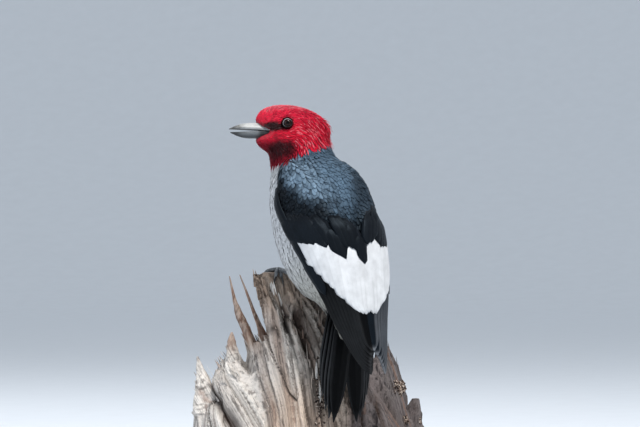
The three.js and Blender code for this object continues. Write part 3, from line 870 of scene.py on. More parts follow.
# Lays one closed feather at each root, bending with the skin from row to row.
def layFeathers(name, form, roots, facing, sizes, shades, material, slot, thick, rootTone):
    across, above, along, half = (np.array(form[key]) for key in ("across", "above", "along", "half"))
    count, rows, ring = len(roots), len(along), len(across)
    length, width, rise = sizes[:, 0], sizes[:, 1], sizes[:, 3]
    length = length * chance.uniform(0.85, 1.15, count)
    rise = rise * chance.uniform(0.75, 1.1, count)
    spots, normals = roots, facing
    flow = featherFlow(spots, normals)
    turn = chance.normal(0, form["twist"], count)[:, None]
    flow = unit(flow + np.cross(flow, normals) * np.tan(turn))
    points = np.zeros((count, rows, ring, 3))
    bend = chance.normal(0, 0.06, count)[:, None]
    sunk = coatSettings["sunk"]
    for r, t in enumerate(along):
        if r:
            spots, normals, flow = nextSpots(spots, normals, flow, length * (t - along[r - 1]), bend)
        lift = (rise + sunk) * t**0.85 - sunk
        reach = (0.5 * width * half[r])[:, None] * across
        hollow = (0.05 * width * half[r])[:, None] * across**2
        height = lift[:, None] + thick * above * (1 - 0.45 * t) - hollow
        across3, above3 = np.cross(flow, normals)[:, None], normals[:, None]
        points[:, r] = spots[:, None] + across3 * reach[..., None] + above3 * height[..., None]
    template = outwardFaces(points[0].reshape(-1, 3), ringFaces(rows, ring))
    mesh = newMesh(name, points.reshape(-1, 3), repeatedFaces(template, rows * ring, count))
    rowTone = mix(rootTone, 1.0, smoothStep(0.0, 0.55, along))[:, None, None]
    edgeTone = (1 - 0.1 * np.abs(across) ** 2)[None, :, None]
    paint(mesh, "plumage", (shades[:, None, None] * rowTone * edgeTone).reshape(-1, 3))
    index = loopVertices(mesh)
    vane = np.zeros((count, rows, ring, 2))
    vane[..., 0] = 0.5 + 0.05 * across * (width[:, None] * half)[..., None]
    vane[..., 1] = 0.1 * (length[:, None] * along)[..., None]
    addMap(mesh, "Vane", vane.reshape(-1, 2)[index])
    patch = np.zeros((count, rows, ring, 2))
    patch[..., 0] = 0.0015 * across
    patch[..., 1] = 0.003 * (along[:, None] - 0.5)
    patch += rootMap(roots)[:, None, None]
    addMap(mesh, "OFBake", np.clip(patch, 0, 1).reshape(-1, 2)[index])
    addPiece(name, mesh, material, slot)
    print(name, count, "feathers,", len(mesh.polygons) * 2, "triangles")


# true where the skin stays bare: round the eyes, at the bill, and under the flight feathers
def bareAt(roots, tips, tract):
    head, body = inHead(roots), inBody(roots)
    bare = np.zeros(len(roots), bool)
    for side in (1, -1):
        out = head - eyeSpot * mirror(side)
        reach = np.linalg.norm(out, axis=1)
        angle = np.degrees(np.arccos(np.clip(out @ unit(eyeLook * mirror(side)) / reach, -1, 1)))
        bare |= (angle < coatSettings["eyeAngle"]) & (reach < coatSettings["eyeReach"])
    bare |= pastFaceLine(head, coatSettings["faceMargin"])
    bare |= (fromBill(head) < 1.0) & (head[:, 1] < -12)
    # the coverts stop where the white secondaries begin
    s, v = wingSpot(inBody(tips))
    rootS, rootV = wingSpot(body)
    across = np.clip((v - 0.1) / 0.9, 0, 1)
    edges = [smoothRows(panelRows[side], across)[:, 0] for side in (1, -1)]
    edge = np.where(roots[:, 0] > 0, *edges)
    bare |= (v > 0) & (v < 1.06) & (s > edge - 0.035) & (rootS > 0.2)
    bare |= (rootV > 0) & (rootV < 1) & (body[:, 2] < -24)
    # nothing white hangs out between the wing and the tail
    return bare | ((tract == 1) & (body[:, 2] < -46) & (body[:, 1] > -9))


def buildCoat():
    roots, facing = scatterRoots()
    sizes = coatSizes(roots)
    tips = roots + featherFlow(roots, facing) * (0.85 * sizes[:, :1])
    head, body = inHead(roots), inBody(roots)
    y, z = head[:, 1], head[:, 2]
    tract = tractAt(tips)
    keep = ~bareAt(roots, tips, tract)
    red, white, black = ((tract == kind) & keep for kind in (0, 1, 2))
    shades = plumageAt(tips, tract)
    spread = np.where(tract == 0, 0.16, 0.07)
    shades *= (0.97 + spread * chance.uniform(-1, 1, len(roots)))[:, None]
    # paler flecks low on the nape, and paler tufts over the crown as a painted highlight
    fleckAndHighlight = chance.random(len(roots)) < 0.3
    share = np.maximum(smoothStep(10, -4, z) * smoothStep(-8, 2, y), 0.9 * smoothStep(7, 12, z))
    share = share * smoothStep(0.1, 0.3, shades[:, 0])
    fleckAndHighlight = red & fleckAndHighlight & (chance.random(len(roots)) < share)
    shades = np.where(fleckAndHighlight[:, None], mix(shades, plumageShades["fleckAndHighlightPink"], 0.5), shades)
    # loose tufts stand up on the nape
    loose = red & (y > 12) & (np.abs(z + 3) < 9) & (chance.random(len(roots)) < 0.16)
    sizes[:, 3] = np.where(loose, sizes[:, 3] * 2.3, sizes[:, 3])
    sizes[:, 0] = np.where(loose, sizes[:, 0] * 1.2, sizes[:, 0])
    front = body[:, 2] > 4
    high, low = z > 2.0, z < -9.0
    inner = wingSpot(body)[1] >= 0.8
    hood = (tuftForm, redFeather, "red_feather", 0.1, 0.5)
    under = (contourForm, whiteFeather, "white_feather", 0.06, 0.97)
    upper = (contourForm, blackFeather, "black_feather", 0.08, 0.75)
    for name, chosen, (form, material, slot, thick, rootTone) in (
        ("coatCrown", red & high, hood),
        ("coatCheeks", red & ~high & ~low, hood),
        ("coatThroat", red & low, hood),
        ("coatBreast", white & front, under),
        ("coatBelly", white & ~front, under),
        ("coatMantle", black & inner, upper),
        ("coatWings", black & ~inner, upper),
    ):
        rows = (values[chosen] for values in (roots, facing, sizes, shades))
        layFeathers(name, form, *rows, material, slot, thick, rootTone)


buildCoat()
print("coat laid")


# Long quills: columns across the vane with a raised shaft, rows from root to tip.
quillForm = {"across": [-1, -0.62, -0.3, -0.1, 0, 0.1, 0.3, 0.62, 1], "rows": 18, "shaft": 0.12}
bakeCells = {"next": 0, "columns": 10, "rows": 4}


# outline of a quill's half width from root to tip; point is how sharply it ends
def quillHalf(t, point):
    body = 0.45 + 0.55 * smoothStep(0, 0.35, t)
    tip = np.sqrt(np.clip(1 - smoothStep(1 - point, 1.0, t) ** 1.5, 0.0, 1))
    return body * np.maximum(tip, 0.06)


# place(t, x, lift) gives points for arrays of t along, x across in mm from the shaft, and lift
def quill(place, half, thick, point, shaftAt=0.0, camber=0.3, shaftHigh=0.3, rows=None, wave=0.0):
    rows = rows or quillForm["rows"]
    t, share = np.meshgrid(np.linspace(0, 1, rows) ** 0.85, quillForm["across"], indexing="ij")
    outline = quillHalf(t, point)
    x = share * (half * outline) - shaftAt * half * (1 - share**2) * outline
    shaft = shaftHigh * (1 - 0.7 * t) * np.exp(-((share / quillForm["shaft"]) ** 2))
    high = shaft - camber * share**2 * outline + wave * np.sin(share * 9 + t * 14)
    thinned = 0.5 * thick * (1 - share**2 * 0.8)

    # joins the upper side to the lower one, which runs back between the edges
    def ringed(above, below):
        return np.concatenate([above, below[:, 1:-1][:, ::-1]], 1)

    points = ringed(place(t, x, high + thinned), place(t, x, high * 0.6 - thinned - 0.02))
    flat = points.reshape(-1, 3)
    faces = outwardFaces(flat, ringFaces(rows, points.shape[1]))
    x, share, t = (ringed(values, values).ravel() for values in (x, share, t))
    return {"points": flat, "faces": faces, "x": x, "share": share, "t": t}


# joins quills into one piece; each comes with its shade function of (t, share) and its length
def quillPiece(name, quills, material, slot, replaced=()):
    points, faces, colours, vane, bake = [], [], [], [], []
    start = 0
    for q, shade, length in quills:
        row, column = divmod(bakeCells["next"], bakeCells["columns"])
        row %= bakeCells["rows"]
        bakeCells["next"] += 1
        points.append(q["points"])
        faces.append(q["faces"] + start)
        start += len(q["points"])
        colours.append(shade(q["t"], q["share"]))
        vane.append(np.stack([0.5 + 0.1 * q["x"], 0.1 * length * q["t"]], 1))
        u = (column + 0.5 + 0.4 * q["share"]) / bakeCells["columns"]
        bake.append(np.stack([u, (row + 0.05 + 0.9 * q["t"]) / bakeCells["rows"]], 1))
    mesh = newMesh(name, np.concatenate(points), np.concatenate(faces))
    paint(mesh, "plumage", np.concatenate(colours))
    index = loopVertices(mesh)
    addMap(mesh, "Vane", np.concatenate(vane)[index])
    addMap(mesh, "OFBake", np.concatenate(bake)[index])
    addPiece(name, mesh, material, slot, replaced)
    print(name, len(quills), "quills,", len(mesh.polygons) * 2, "triangles")


# a quill's place on a folded wing, from s0 to s1 down it and from v0 to v1 over it; its root
# sinks under the feathers above it
def onWing(side, s0, s1, v0, v1, tilt, lift, bow=0.0, sink=1.6):
    step = 0.02

    def place(t, x, high):
        rise = lift - sink * (1 - smoothStep(0, 0.4, t))
        s = mix(s0, s1, t)
        v = mix(v0, v1, t) + bow * np.sin(math.pi * t)
        over, under = (wingPlace(s, v + jump, 0 * s) for jump in (step, -step))
        wide = np.linalg.norm(over - under, axis=-1) / (2 * step)
        return bodyPoint(wingPlace(s, v + x / wide, rise + high - tilt * x)) * mirror(side)

    return place


def wingLength(s0, s1):
    return abs(s1 - s0) * wingSpan


# how many of each, and where each left primary's tip comes down the wing
wingSettings = {
    "secondaries": 11,
    "coverts": 13,
    "lowerCoverts": 7,
    "tips": [1.0, 0.99, 0.97, 0.95, 0.925, 0.9, 0.88, 0.855, 0.83],
}


def whiteShade():
    white = plumageShades["white"] * chance.uniform(0.94, 1.03)

    def shade(t, share):
        # painted shade along each feather's edges, where the feathers overlap
        edge = 1 - 0.17 * smoothStep(0.72, 1.0, np.abs(share)) * smoothStep(0.2, 0.6, t)
        shaft = 1 - 0.16 * np.exp(-((share / 0.1) ** 2)) * smoothStep(0.4, 0.8, t)
        return white[None] * (edge * shaft)[:, None]

    return shade


# a black feather with a worn, paler edge
def blackShade(base, edgeShade, amount, edgeFrom=0.8):
    edgeShade = plumageShades[edgeShade]

    def shade(t, share):
        edge = smoothStep(edgeFrom, 1.0, np.abs(share)) * smoothStep(0.15, 0.7, t)
        tip = smoothStep(0.93, 1.0, t)
        worn = np.clip(amount * np.maximum(edge, tip), 0, 1)[:, None]
        return mix(base[None] * np.ones((len(t), 1)), edgeShade[None], worn)

    return shade


# white secondaries, whose tips make the panel's lower edge
def secondaries(side):
    quills = []
    last = wingSettings["secondaries"] - 1
    for k in range(last + 1):
        across = k / last
        v = mix(0.225, 0.97, across)
        covertEdge, tips = smoothRows(panelRows[side], across)
        start = covertEdge - 0.07
        half = mix(5.6, 6.4, across) if k < last else 5.4
        place = onWing(side, start, tips + 0.004 * chance.normal(), v + 0.02, v, 0.09, 0.35 + 0.02 * k)
        made = quill(place, half, 0.35, 0.16, 0.25, camber=0.35, shaftHigh=0.22, wave=0.02)
        quills.append((made, whiteShade(), wingLength(start, tips)))
    return quills


# black primaries; the right wing's are spread wider and more worn
def primaries(side):
    quills = []
    left = side > 0
    black = plumageShades["quill"] if left else plumageShades["mantleDark"]
    worn = ("quillEdge", 0.12) if left else ("wornEdge", 0.5, 0.82)
    for k, tip in enumerate(wingSettings["tips"]):
        share = k / (len(wingSettings["tips"]) - 1)
        rootV = mix(0.05, 0.75, share)
        tipV = mix(0.32, 0.92, share) if left else mix(0.3, 1.25, share)
        start = mix(0.3, 0.46, share)
        place = onWing(side, start, tip, rootV, tipV, 0.1, -0.6 + 0.04 * k, bow=-0.03)
        made = quill(place, mix(4.2, 5.6, share), 0.3, 0.22, -0.3, camber=0.05, shaftHigh=0.1, rows=32)
        quills.append((made, blackShade(black, *worn), wingLength(start, tip)))
    return quills


# greater coverts, one row whose round tips lap on to the white, then primary coverts and alula
def coverts(side):
    quills = []
    for k in range(wingSettings["coverts"]):
        across = k / (wingSettings["coverts"] - 1)
        v = mix(0.1, 0.99, across)
        edge = smoothRows(panelRows[side], across)[0] + 0.006 + 0.006 * chance.normal()
        start = edge - 0.13
        place = onWing(side, start, edge, v + 0.01, v, 0.08, 0.75 + 0.02 * k, sink=1.9)
        made = quill(place, 4.6, 0.35, 0.3, 0.2, camber=0.4, shaftHigh=0.15, rows=12)
        black = plumageShades["covert"] * chance.uniform(0.8, 1.2)
        quills.append((made, blackShade(black, "mantleDark", 0.5), wingLength(start, edge)))
    for k in range(wingSettings["lowerCoverts"]):
        start = 0.16 + 0.045 * k
        tip = start + 0.17
        place = onWing(side, start, tip, 0.035 + 0.012 * (k % 2), 0.06 + 0.01 * k, -0.04, 0.2 + 0.03 * k)
        made = quill(place, 3.4, 0.35, 0.3, -0.3, camber=0.35, shaftHigh=0.15, rows=12)
        quills.append((made, blackShade(plumageShades["covert"], "mantleDark", 0.4), wingLength(start, tip)))
    return quills


def buildWings():
    for side, word in ((1, "left"), (-1, "right")):
        replaced = ["wing_" + word + "_secondaries"]
        quillPiece("secondaries_" + word, secondaries(side), whiteFeather, "white_feather", replaced)
        quillPiece("primaries_" + word, primaries(side), quillBlack, "black_feather")
        quillPiece("coverts_" + word, coverts(side), blackFeather, "black_feather")


buildWings()

# from the middle pair outwards; splay is in degrees, step is how far each pair lies under the last
tailPairs = [
    {"length": 83, "width": 14, "splay": 5.4, "root": 1.4},
    {"length": 80.5, "width": 11.5, "splay": 6.9, "root": 3},
    {"length": 75, "width": 10.5, "splay": 8, "root": 5},
    {"length": 67, "width": 10, "splay": 9, "root": 7.4},
    {"length": 57, "width": 9, "splay": 10, "root": 9.4},
]
tailSettings = {"step": 0.55, "lap": 0.1}


def onTail(side, k, pair):
    splay = math.radians(pair["splay"])

    def place(t, x, high):
        along = t * pair["length"]
        across = side * (pair["root"] + along * math.sin(splay)) + x * math.cos(splay)
        up = -along * math.cos(splay) + side * x * math.sin(splay)
        out = -tailSettings["step"] * k + tailSettings["lap"] * side + high
        return tailPoint(np.stack([across, out, up], -1))

    return place


def buildTail():
    quills = []
    for k, pair in enumerate(tailPairs):
        for side in (1, -1):
            place, half = onTail(side, k, pair), pair["width"] / 2
            made = quill(place, half, 0.42, 0.42, camber=0.1, shaftHigh=0.38, rows=22)
            shade = blackShade(plumageShades["quill"], "quillEdge", 0.25 if k else 0.1)
            quills.append((made, shade, pair["length"]))
    quillPiece("tailFeathers", quills, quillBlack, "black_feather", ["tail"])


buildTail()
print("flight feathers laid")


# A grid rolled into a closed tube: place(t, angle) gives the points in mm, t from end to end.
def rolledTube(bm, place, along, around):
    made = bmesh.ops.create_grid(bm, x_segments=along, y_segments=around, size=1)
    verts = made["verts"]
    t = np.array([v.co.x * 0.5 + 0.5 for v in verts])
    angle = np.array([(v.co.y * 0.5 + 0.5) * 2 * math.pi for v in verts])
    points = place(t, angle) * 0.001
    for v, p in zip(verts, points.tolist()):
        v.co = p
    bmesh.ops.remove_doubles(bm, verts=verts, dist=2e-6)
    verts = [v for v in verts if v.is_valid]
    edges = [e for e in {e for v in verts for e in v.link_edges} if e.is_boundary]
    bmesh.ops.holes_fill(bm, edges=edges, sides=0)


def closedMesh(name, bm):
    bmesh.ops.recalc_face_normals(bm, faces=bm.faces)
    mesh = meshFrom(name, bm)
    shadeSmooth(mesh)
    return mesh


def closedPiece(name, bm, material, slot, replaced=()):
    mesh = closedMesh(name, bm)
    addPiece(name, mesh, material, slot, replaced)
    return mesh


# a wet, nearly black eye: dark brown iris round the pupil under a clear, glossy cornea
def eyeMaterial():
    material, tree, shader = newMaterial(
        "wetDarkEye", Roughness=0.05, IOR=1.36, Specular_IOR_Level=0.2, Coat_Weight=0.08, Coat_Roughness=0.02
    )
    own = addNode(tree, "Attribute", output="Fac", attribute_name="iris")
    solid = addNode(tree, "TexCoord", output="Object")
    fibres = addNode(tree, "TexNoise", {"Vector": solid, "Scale": 2500.0, "Detail": 2.0})
    wander = addNode(tree, "Math", [fibres, 0.1, own], operation="MULTIPLY_ADD")
    # pupil, iris and its dark rim, from the middle outwards
    stops = [(0.0, "#050404"), (0.5, "#060404"), (0.58, "#2a120a"), (0.85, "#1c0c07"), (1.0, "#0a0605")]
    finishSurface(tree, shader, addNode(tree, "ValToRGB", [wander], stops=stops))
    return material


# thin bare lids, pale grey and finely wrinkled
def lidMaterial():
    material, tree, shader = newMaterial("bareGreyLid", Roughness=0.55)
    solid = addNode(tree, "TexCoord", output="Object")
    folds = addNode(tree, "TexNoise", {"Vector": solid, "Scale": 1800.0, "Detail": 3.0})
    shade = addNode(tree, "ValToRGB", [folds], stops=[(0.3, "#6a6468"), (0.7, "#a39da2")])
    # the bare attribute holds painted shade, dark in front of and below the eye
    own = addNode(tree, "Attribute", output="Fac", attribute_name="bare")
    tone = addNode(tree, "VectorMath", {0: shade, "Scale": own}, operation="SCALE")
    finishSurface(tree, shader, tone, folds, 0.6, 0.1)
    return material


eyeSettings = {"bulge": 0.035, "iris": 34, "lidAngle": 44.5, "lidThick": 0.15, "folds": 15, "segments": 40}


def buildEye(word, centre, look, gloss):
    bm = bmesh.new()
    made = bmesh.ops.create_uvsphere(bm, u_segments=eyeSettings["segments"], v_segments=24, radius=1)
    turn = Vector((0, 0, 1)).rotation_difference(Vector(look)).to_matrix()
    share = []
    for v in made["verts"]:
        height = v.co.z
        bulge = 1 + eyeSettings["bulge"] * float(smoothStep(0.8, 1.0, height))
        share.append(math.degrees(math.acos(max(-1, min(1, height)))) / eyeSettings["iris"])
        v.co = (turn @ v.co) * eyeBall * bulge * 0.001 + Vector(centre * 0.001)
    mesh = closedPiece("eye_" + word + "_ball", bm, gloss, "eye", ["eye_" + word])
    store(mesh, "iris", np.clip(np.array(share, np.float32), 0, 1))


# two lids meet at the corners of the eye; the ring between them is a little oval
def buildLids(word, side, centre, look, bare):
    upward = unit(np.array([0, 0, 1.0]) - look * look[2])
    forward = np.cross(upward, look) * side

    def lid(t, angle):
        turn = 2 * math.pi * t
        c, s = np.cos(turn)[:, None], np.sin(turn)[:, None]
        edge = eyeSettings["lidAngle"] - 4.5 * np.abs(s) ** 1.5 + 1.6 * np.abs(c) ** 6
        edge = np.radians(edge)
        ringOut = c * forward + s * upward
        middle = np.cos(edge) * look + np.sin(edge) * ringOut
        slope = -np.sin(edge) * look + np.cos(edge) * ringOut
        fold = 1 + 0.08 * np.sin(eyeSettings["folds"] * turn)[:, None]
        thick = eyeSettings["lidThick"] * (1 + 0.25 * s) * fold
        reach = eyeBall + 0.12 + 0.75 * thick * np.sin(angle)[:, None]
        return centre + middle * reach + slope * (1.25 * thick * np.cos(angle)[:, None])

    bm = bmesh.new()
    rolledTube(bm, lid, eyeSettings["segments"] * 2, 10)
    mesh = closedPiece("lids_" + word, bm, bare, "leg_skin")
    # painted shade darkens the lids in front and below; above and behind they keep their own pale grey
    around = unit(meshPoints(mesh) - centre)
    pale = smoothStep(-0.35, 0.55, around @ (0.8 * upward - 0.6 * forward))
    store(mesh, "bare", mix(0.06, 1.0, pale))


def buildEyes():
    gloss, bare = eyeMaterial(), lidMaterial()
    for side, word in ((1, "left"), (-1, "right")):
        centre = headPoint(eyeSpot * mirror(side))
        look = unit(eyeLook * mirror(side) @ headAxes)
        buildEye(word, centre, look, gloss)
        buildLids(word, side, centre, look, bare)


buildEyes()


# opening is in degrees; the rows give how far along, and the shares of the width and the height
billSettings = {
    "root": [0, -13, -3.3],
    "length": 27,
    "shorter": 0.8,
    "width": 9.6,
    "upper": 4.5,
    "lower": 4.4,
    "opening": 1.6,
    "gap": 0.6,
    "rows": [
        [0, 0.5, 1],
        [0.33, 0.44, 1],
        [0.62, 0.32, 0.92],
        [0.82, 0.19, 0.6],
        [0.94, 0.1, 0.28],
        [1, 0.06, 0.13],
    ],
}


# worn horn: satin keratin, pale along the sides with a painted highlight along the top, painted shade under
# the lower half and along the gape, dark where the tip has weathered
def billMaterial():
    material, tree, shader = newMaterial(
        "wornBillHorn", Roughness=0.38, Specular_IOR_Level=0.3, Subsurface_Weight=0.08,
        Subsurface_Radius=(0.001, 0.0008, 0.0006),
    )
    vane = addNode(tree, "UVMap", uv_map="Vane")
    stretch = addNode(tree, "Mapping", {"Vector": vane, "Scale": (1.2, 14.0, 1.0)})
    streaks = addNode(tree, "TexNoise", {"Vector": stretch, "Scale": 3.0, "Detail": 5.0})
    level = addNode(tree, "MapRange", [streaks, 0.25, 0.75, 0.72, 1.12])
    own = addNode(tree, "Attribute", attribute_name="horn")
    tone = addNode(tree, "VectorMath", {0: own, "Scale": level}, operation="SCALE")
    finishSurface(tree, shader, tone, streaks, 0.4, 0.1)
    tree.links.new(addNode(tree, "MapRange", [streaks, 0.0, 1.0, 0.28, 0.5]), shader.inputs["Roughness"])
    return material


def billShade(t, high, local, upper):
    pale, grey, dark = colour("#a9abaa"), colour("#6b6f72"), colour("#1f2022")
    if upper:
        # painted highlight: the upper half is paler towards its top
        shade = mix(colour("#85888a"), pale, smoothStep(0.2, 0.7, high)[:, None])
        keel = smoothStep(0.8, 1.0, high) * smoothStep(0.45, 0.8, t)
        shade = mix(shade, grey, (0.7 * keel)[:, None])
    else:
        # painted shade: the lower half is darker towards its underside; near black towards its root
        shade = mix(grey, colour("#494d50"), smoothStep(0.5, 1.0, high)[:, None])
        shade = mix(shade, dark, (0.9 * smoothStep(0.2, 0.05, t - 0.2))[:, None])
    # painted shade along the gape between the two halves
    rim = smoothStep(0.16, 0.04, high) * smoothStep(0.1, 0.4, t)
    shade = mix(shade, dark, (0.8 * rim)[:, None])
    tip = smoothStep(0.58, 0.92, t + 0.05 * valueNoise(local / 1.5, 4))
    return mix(shade, dark, (0.85 * tip)[:, None])


def buildBill():
    horn = billMaterial()
    b = billSettings
    for word, upper, length, opening in (
        ("upper", True, b["length"], 0.6 * b["opening"]),
        ("lower", False, b["length"] - b["shorter"], b["opening"]),
    ):
        ridge = b[word]
        rows = [[along, wide * b["width"], high * ridge] for along, wide, high in b["rows"]]
        tilt = -math.radians(opening)

        def place(t, angle):
            along, half, high = smoothRows(rows, t).T
            c, s = np.cos(angle), np.sin(angle)
            # a keel along the ridge, a faint groove below it and the nostril
            groove = np.exp(-(((np.abs(c) - 0.72) / 0.12) ** 2)) * (s > 0) * smoothStep(0.95, 0.4, t)
            x = c * half * (1 - 0.16 * np.clip(s, 0, 1) ** 2) * (1 - 0.05 * groove)
            tomium = 0.1 + 0.32 * smoothStep(0.75, 0.1, t)
            z = np.where(s < 0, tomium * s, np.abs(s) ** 0.92 * high)
            nostril = np.exp(-(((t - 0.2) / 0.06) ** 2) - ((np.abs(c) - 0.6) / 0.14) ** 2) * (s > 0)
            z = z - 0.35 * nostril * upper
            y = -along * length
            forward = y * math.cos(tilt) - z * math.sin(tilt)
            up = y * math.sin(tilt) + z * math.cos(tilt)
            return headPoint(np.stack([x, forward, up if upper else -up - b["gap"]], 1) + b["root"])

        bm = bmesh.new()
        rolledTube(bm, place, 64, 40)
        mesh = closedPiece("bill_" + word + "_horn", bm, horn, "bill_horn", ["bill_" + word])
        local = inHead(meshPoints(mesh)) - b["root"]
        t = np.clip(-local[:, 1] / length, 0, 1)
        paint(mesh, "horn", billShade(t, np.abs(local[:, 2]) / ridge, local, upper))
        around = np.arctan2(local[:, 2], local[:, 0]) / (2 * math.pi) + 0.5
        addMap(mesh, "Vane", np.stack([t * 2.7, around], 1)[loopVertices(mesh)])
        print("bill", word, len(mesh.polygons), "faces")


buildBill()


footAt = np.array([8.6, -31.5, 152.2])
toes = [
    {"heading": -18, "length": 10.5, "drop": 3},
    {"heading": 14, "length": 12.5, "drop": 4},
    {"heading": 128, "length": 7.5, "drop": 4.8},
    {"heading": 158, "length": 6, "drop": 5},
]
legSettings = {
    "toe": 1.25,
    "tarsus": 1.35,
    "scutes": 9,
    "claw": [[-0.6, -0.4, 0.75, 0.9], [2.2, 0.9, 0.65, 0.85], [4.0, 3.2, 0.45, 0.6], [4.4, 5.8, 0.12, 0.15]],
}


# scaled leg skin: grey, dull, darker between the scutes
def legMaterial():
    material, tree, shader = newMaterial("scaledLegSkin", Roughness=0.55, Specular_IOR_Level=0.4)
    solid = addNode(tree, "TexCoord", output="Object")
    edges = {"Vector": solid, "Scale": 1500.0}
    scales = addNode(tree, "TexVoronoi", edges, "Distance", feature="DISTANCE_TO_EDGE")
    grime = addNode(tree, "TexNoise", {"Vector": solid, "Scale": 500.0, "Detail": 4.0})
    own = addNode(tree, "Attribute", output="Fac", attribute_name="scute")
    shade = addNode(tree, "ValToRGB", [grime], stops=[(0.3, "#45474a"), (0.7, "#74777a")])
    gap = addNode(tree, "MapRange", [scales, 0.0, 0.12, 0.6, 1.0])
    level = addNode(tree, "Math", [gap, own], operation="MULTIPLY")
    tone = addNode(tree, "VectorMath", {0: shade, "Scale": level}, operation="SCALE")
    finishSurface(tree, shader, tone, gap, 0.5, 0.1)
    return material


# claws: dark horn, polished by bark
def clawMaterial():
    material, tree, shader = newMaterial("darkClawHorn", Roughness=0.3)
    solid = addNode(tree, "TexCoord", output="Object")
    streaks = addNode(tree, "TexNoise", {"Vector": solid, "Scale": 900.0, "Detail": 3.0})
    shade = addNode(tree, "ValToRGB", [streaks], stops=[(0.3, "#1d1c1d"), (0.7, "#3b3939")])
    finishSurface(tree, shader, shade, streaks, 0.3, 0.1)
    return material


# a tube along smooth stations [x, y, z, side, back, front], ringed by scutes on its back
def limb(bm, stations, flip, scutes, along, around):
    def place(t, angle):
        x, y, z, wide, back, front = smoothRows(stations, t).T
        axis = unit(smoothRows(stations, t + 0.01)[:, :3] - smoothRows(stations, t - 0.01)[:, :3])
        across = unit(np.cross(axis, [0, 0, 1.0]))
        up = np.cross(across, axis)
        ring = 1.0
        if scutes:
            saw = (t * scutes) % 1.0 - 0.5
            sole = 0.05 * np.cos(5 * angle) * (np.sin(angle) < 0)
            ring = 1 + 0.12 * saw * np.clip(np.sin(angle) + 0.5, 0, 1) + sole
        end = np.sqrt(np.clip(1 - (2 * np.clip(t, 0, 1) - 1) ** 16, 0.02, 1))
        c, s = np.cos(angle) * ring * end, np.sin(angle) * ring * end
        high = np.where(s > 0, back, front)
        return (np.stack([x, y, z], 1) + across * (c * wide)[:, None] + up * (s * high)[:, None]) * flip

    rolledTube(bm, place, along, around)


def toePoint(toe, reach, drop):
    heading = math.radians(toe["heading"])
    return [footAt[0] + reach * math.sin(heading), footAt[1] - reach * math.cos(heading), footAt[2] - drop]


def tarsusRows():
    r = legSettings["tarsus"]
    return [
        [*ankle, 1.3 * r, 1.3 * r, 1.4 * r],
        [10.2, -18, 149.4, r, r, r],
        [9.2, -26.5, 151.8, r, r, r],
        [*footAt, 1.5 * r, r, r],
    ]


def toeRows(toe):
    r, length, drop = legSettings["toe"], toe["length"], toe["drop"]
    return [
        [*toePoint(toe, -1.5, -0.2), 1.2 * r, 1.1 * r, 1.1 * r],
        [*toePoint(toe, 0.35 * length, 0), r, r, r],
        [*toePoint(toe, 0.75 * length, 0.3 * drop), r, 0.95 * r, 1.05 * r],
        [*toePoint(toe, length, drop), 0.8 * r, 0.8 * r, 0.8 * r],
    ]


# claw rows: how far past the toe, how far down, then the half width and half height
def clawStations(toe):
    return [
        [*toePoint(toe, toe["length"] + past, toe["drop"] + down), wide, high, high]
        for past, down, wide, high in legSettings["claw"]
    ]


def buildLegs():
    scaled, horn = legMaterial(), clawMaterial()
    for side, word in ((1, "left"), (-1, "right")):
        bm = bmesh.new()
        limb(bm, tarsusRows(), mirror(side), legSettings["scutes"], 54, 16)
        for toe in toes:
            limb(bm, toeRows(toe), mirror(side), round(toe["length"] * 0.9), 44, 14)
        mesh = closedPiece("foot_" + word + "_skin", bm, scaled, "leg_skin", ["foot_" + word])
        store(mesh, "scute", 1 + 0.15 * valueNoise(meshPoints(mesh) / 0.9, 21))
        bm = bmesh.new()
        for toe in toes:
            limb(bm, clawStations(toe), mirror(side), 0, 24, 12)
        replaced = ["claw_" + word + "_" + str(i) for i in (1, 2, 3, 4)]
        closedPiece("claws_" + word, bm, horn, "claw_horn", replaced)


buildLegs()
print("head and legs finished")


# sizes in mm; the sinks are how deep each kind of relief goes, broken how far the torn top drops
perchSettings = {
    "foot": 42.0,
    "voxel": 0.8,
    "bundle": 11.0,
    "strand": 4.2,
    "sinks": {"groove": 1.5, "strand": 0.45, "split": 1.6, "bundle": 0.45, "fibre": 0.22, "fine": 0.15},
    "broken": {"strand": 3.0, "bundle": 2.0},
    "slivers": 520,
    "crumbs": 300,
}
# The splinters that stand clear: rows across the broad face, through the wood, up, half width and
# half depth. Each is cut from the wood above the height in clear.
spikes = [
    {
        "clear": 108,
        "rows": [
            [-37, 10, 84, 6, 6],
            [-45, 9, 110, 3.2, 3],
            [-50.2, 8.5, 122, 2.7, 1.8],
            [-54.2, 8, 134, 1.1, 0.9],
            [-57.2, 8, 148.2, 0.35, 0.35],
        ],
    },
    {
        "clear": 111,
        "rows": [
            [-30, 12, 86, 7, 6],
            [-37, 11, 112, 2.5, 2.4],
            [-41, 10.5, 123, 1.4, 1.3],
            [-45.4, 10, 135, 0.95, 0.8],
            [-50.8, 10, 149, 0.35, 0.35],
        ],
    },
    {
        "clear": 103,
        "rows": [
            [-52, 6, 78, 8.5, 8],
            [-55, 7, 97, 4.6, 5],
            [-56, 7, 106, 3, 3],
            [-55.8, 7, 112.8, 0.6, 0.6],
        ],
    },
    {"clear": 84, "rows": [[-70, 7, 60, 11, 11], [-74, 8, 82, 4.5, 5], [-77.5, 8, 97.4, 0.5, 0.5]]},
    {"clear": 64, "rows": [[55, 24, 42.5, 12, 12], [58, 25, 56, 8, 8], [61, 25, 70, 2, 2.5]]},
]


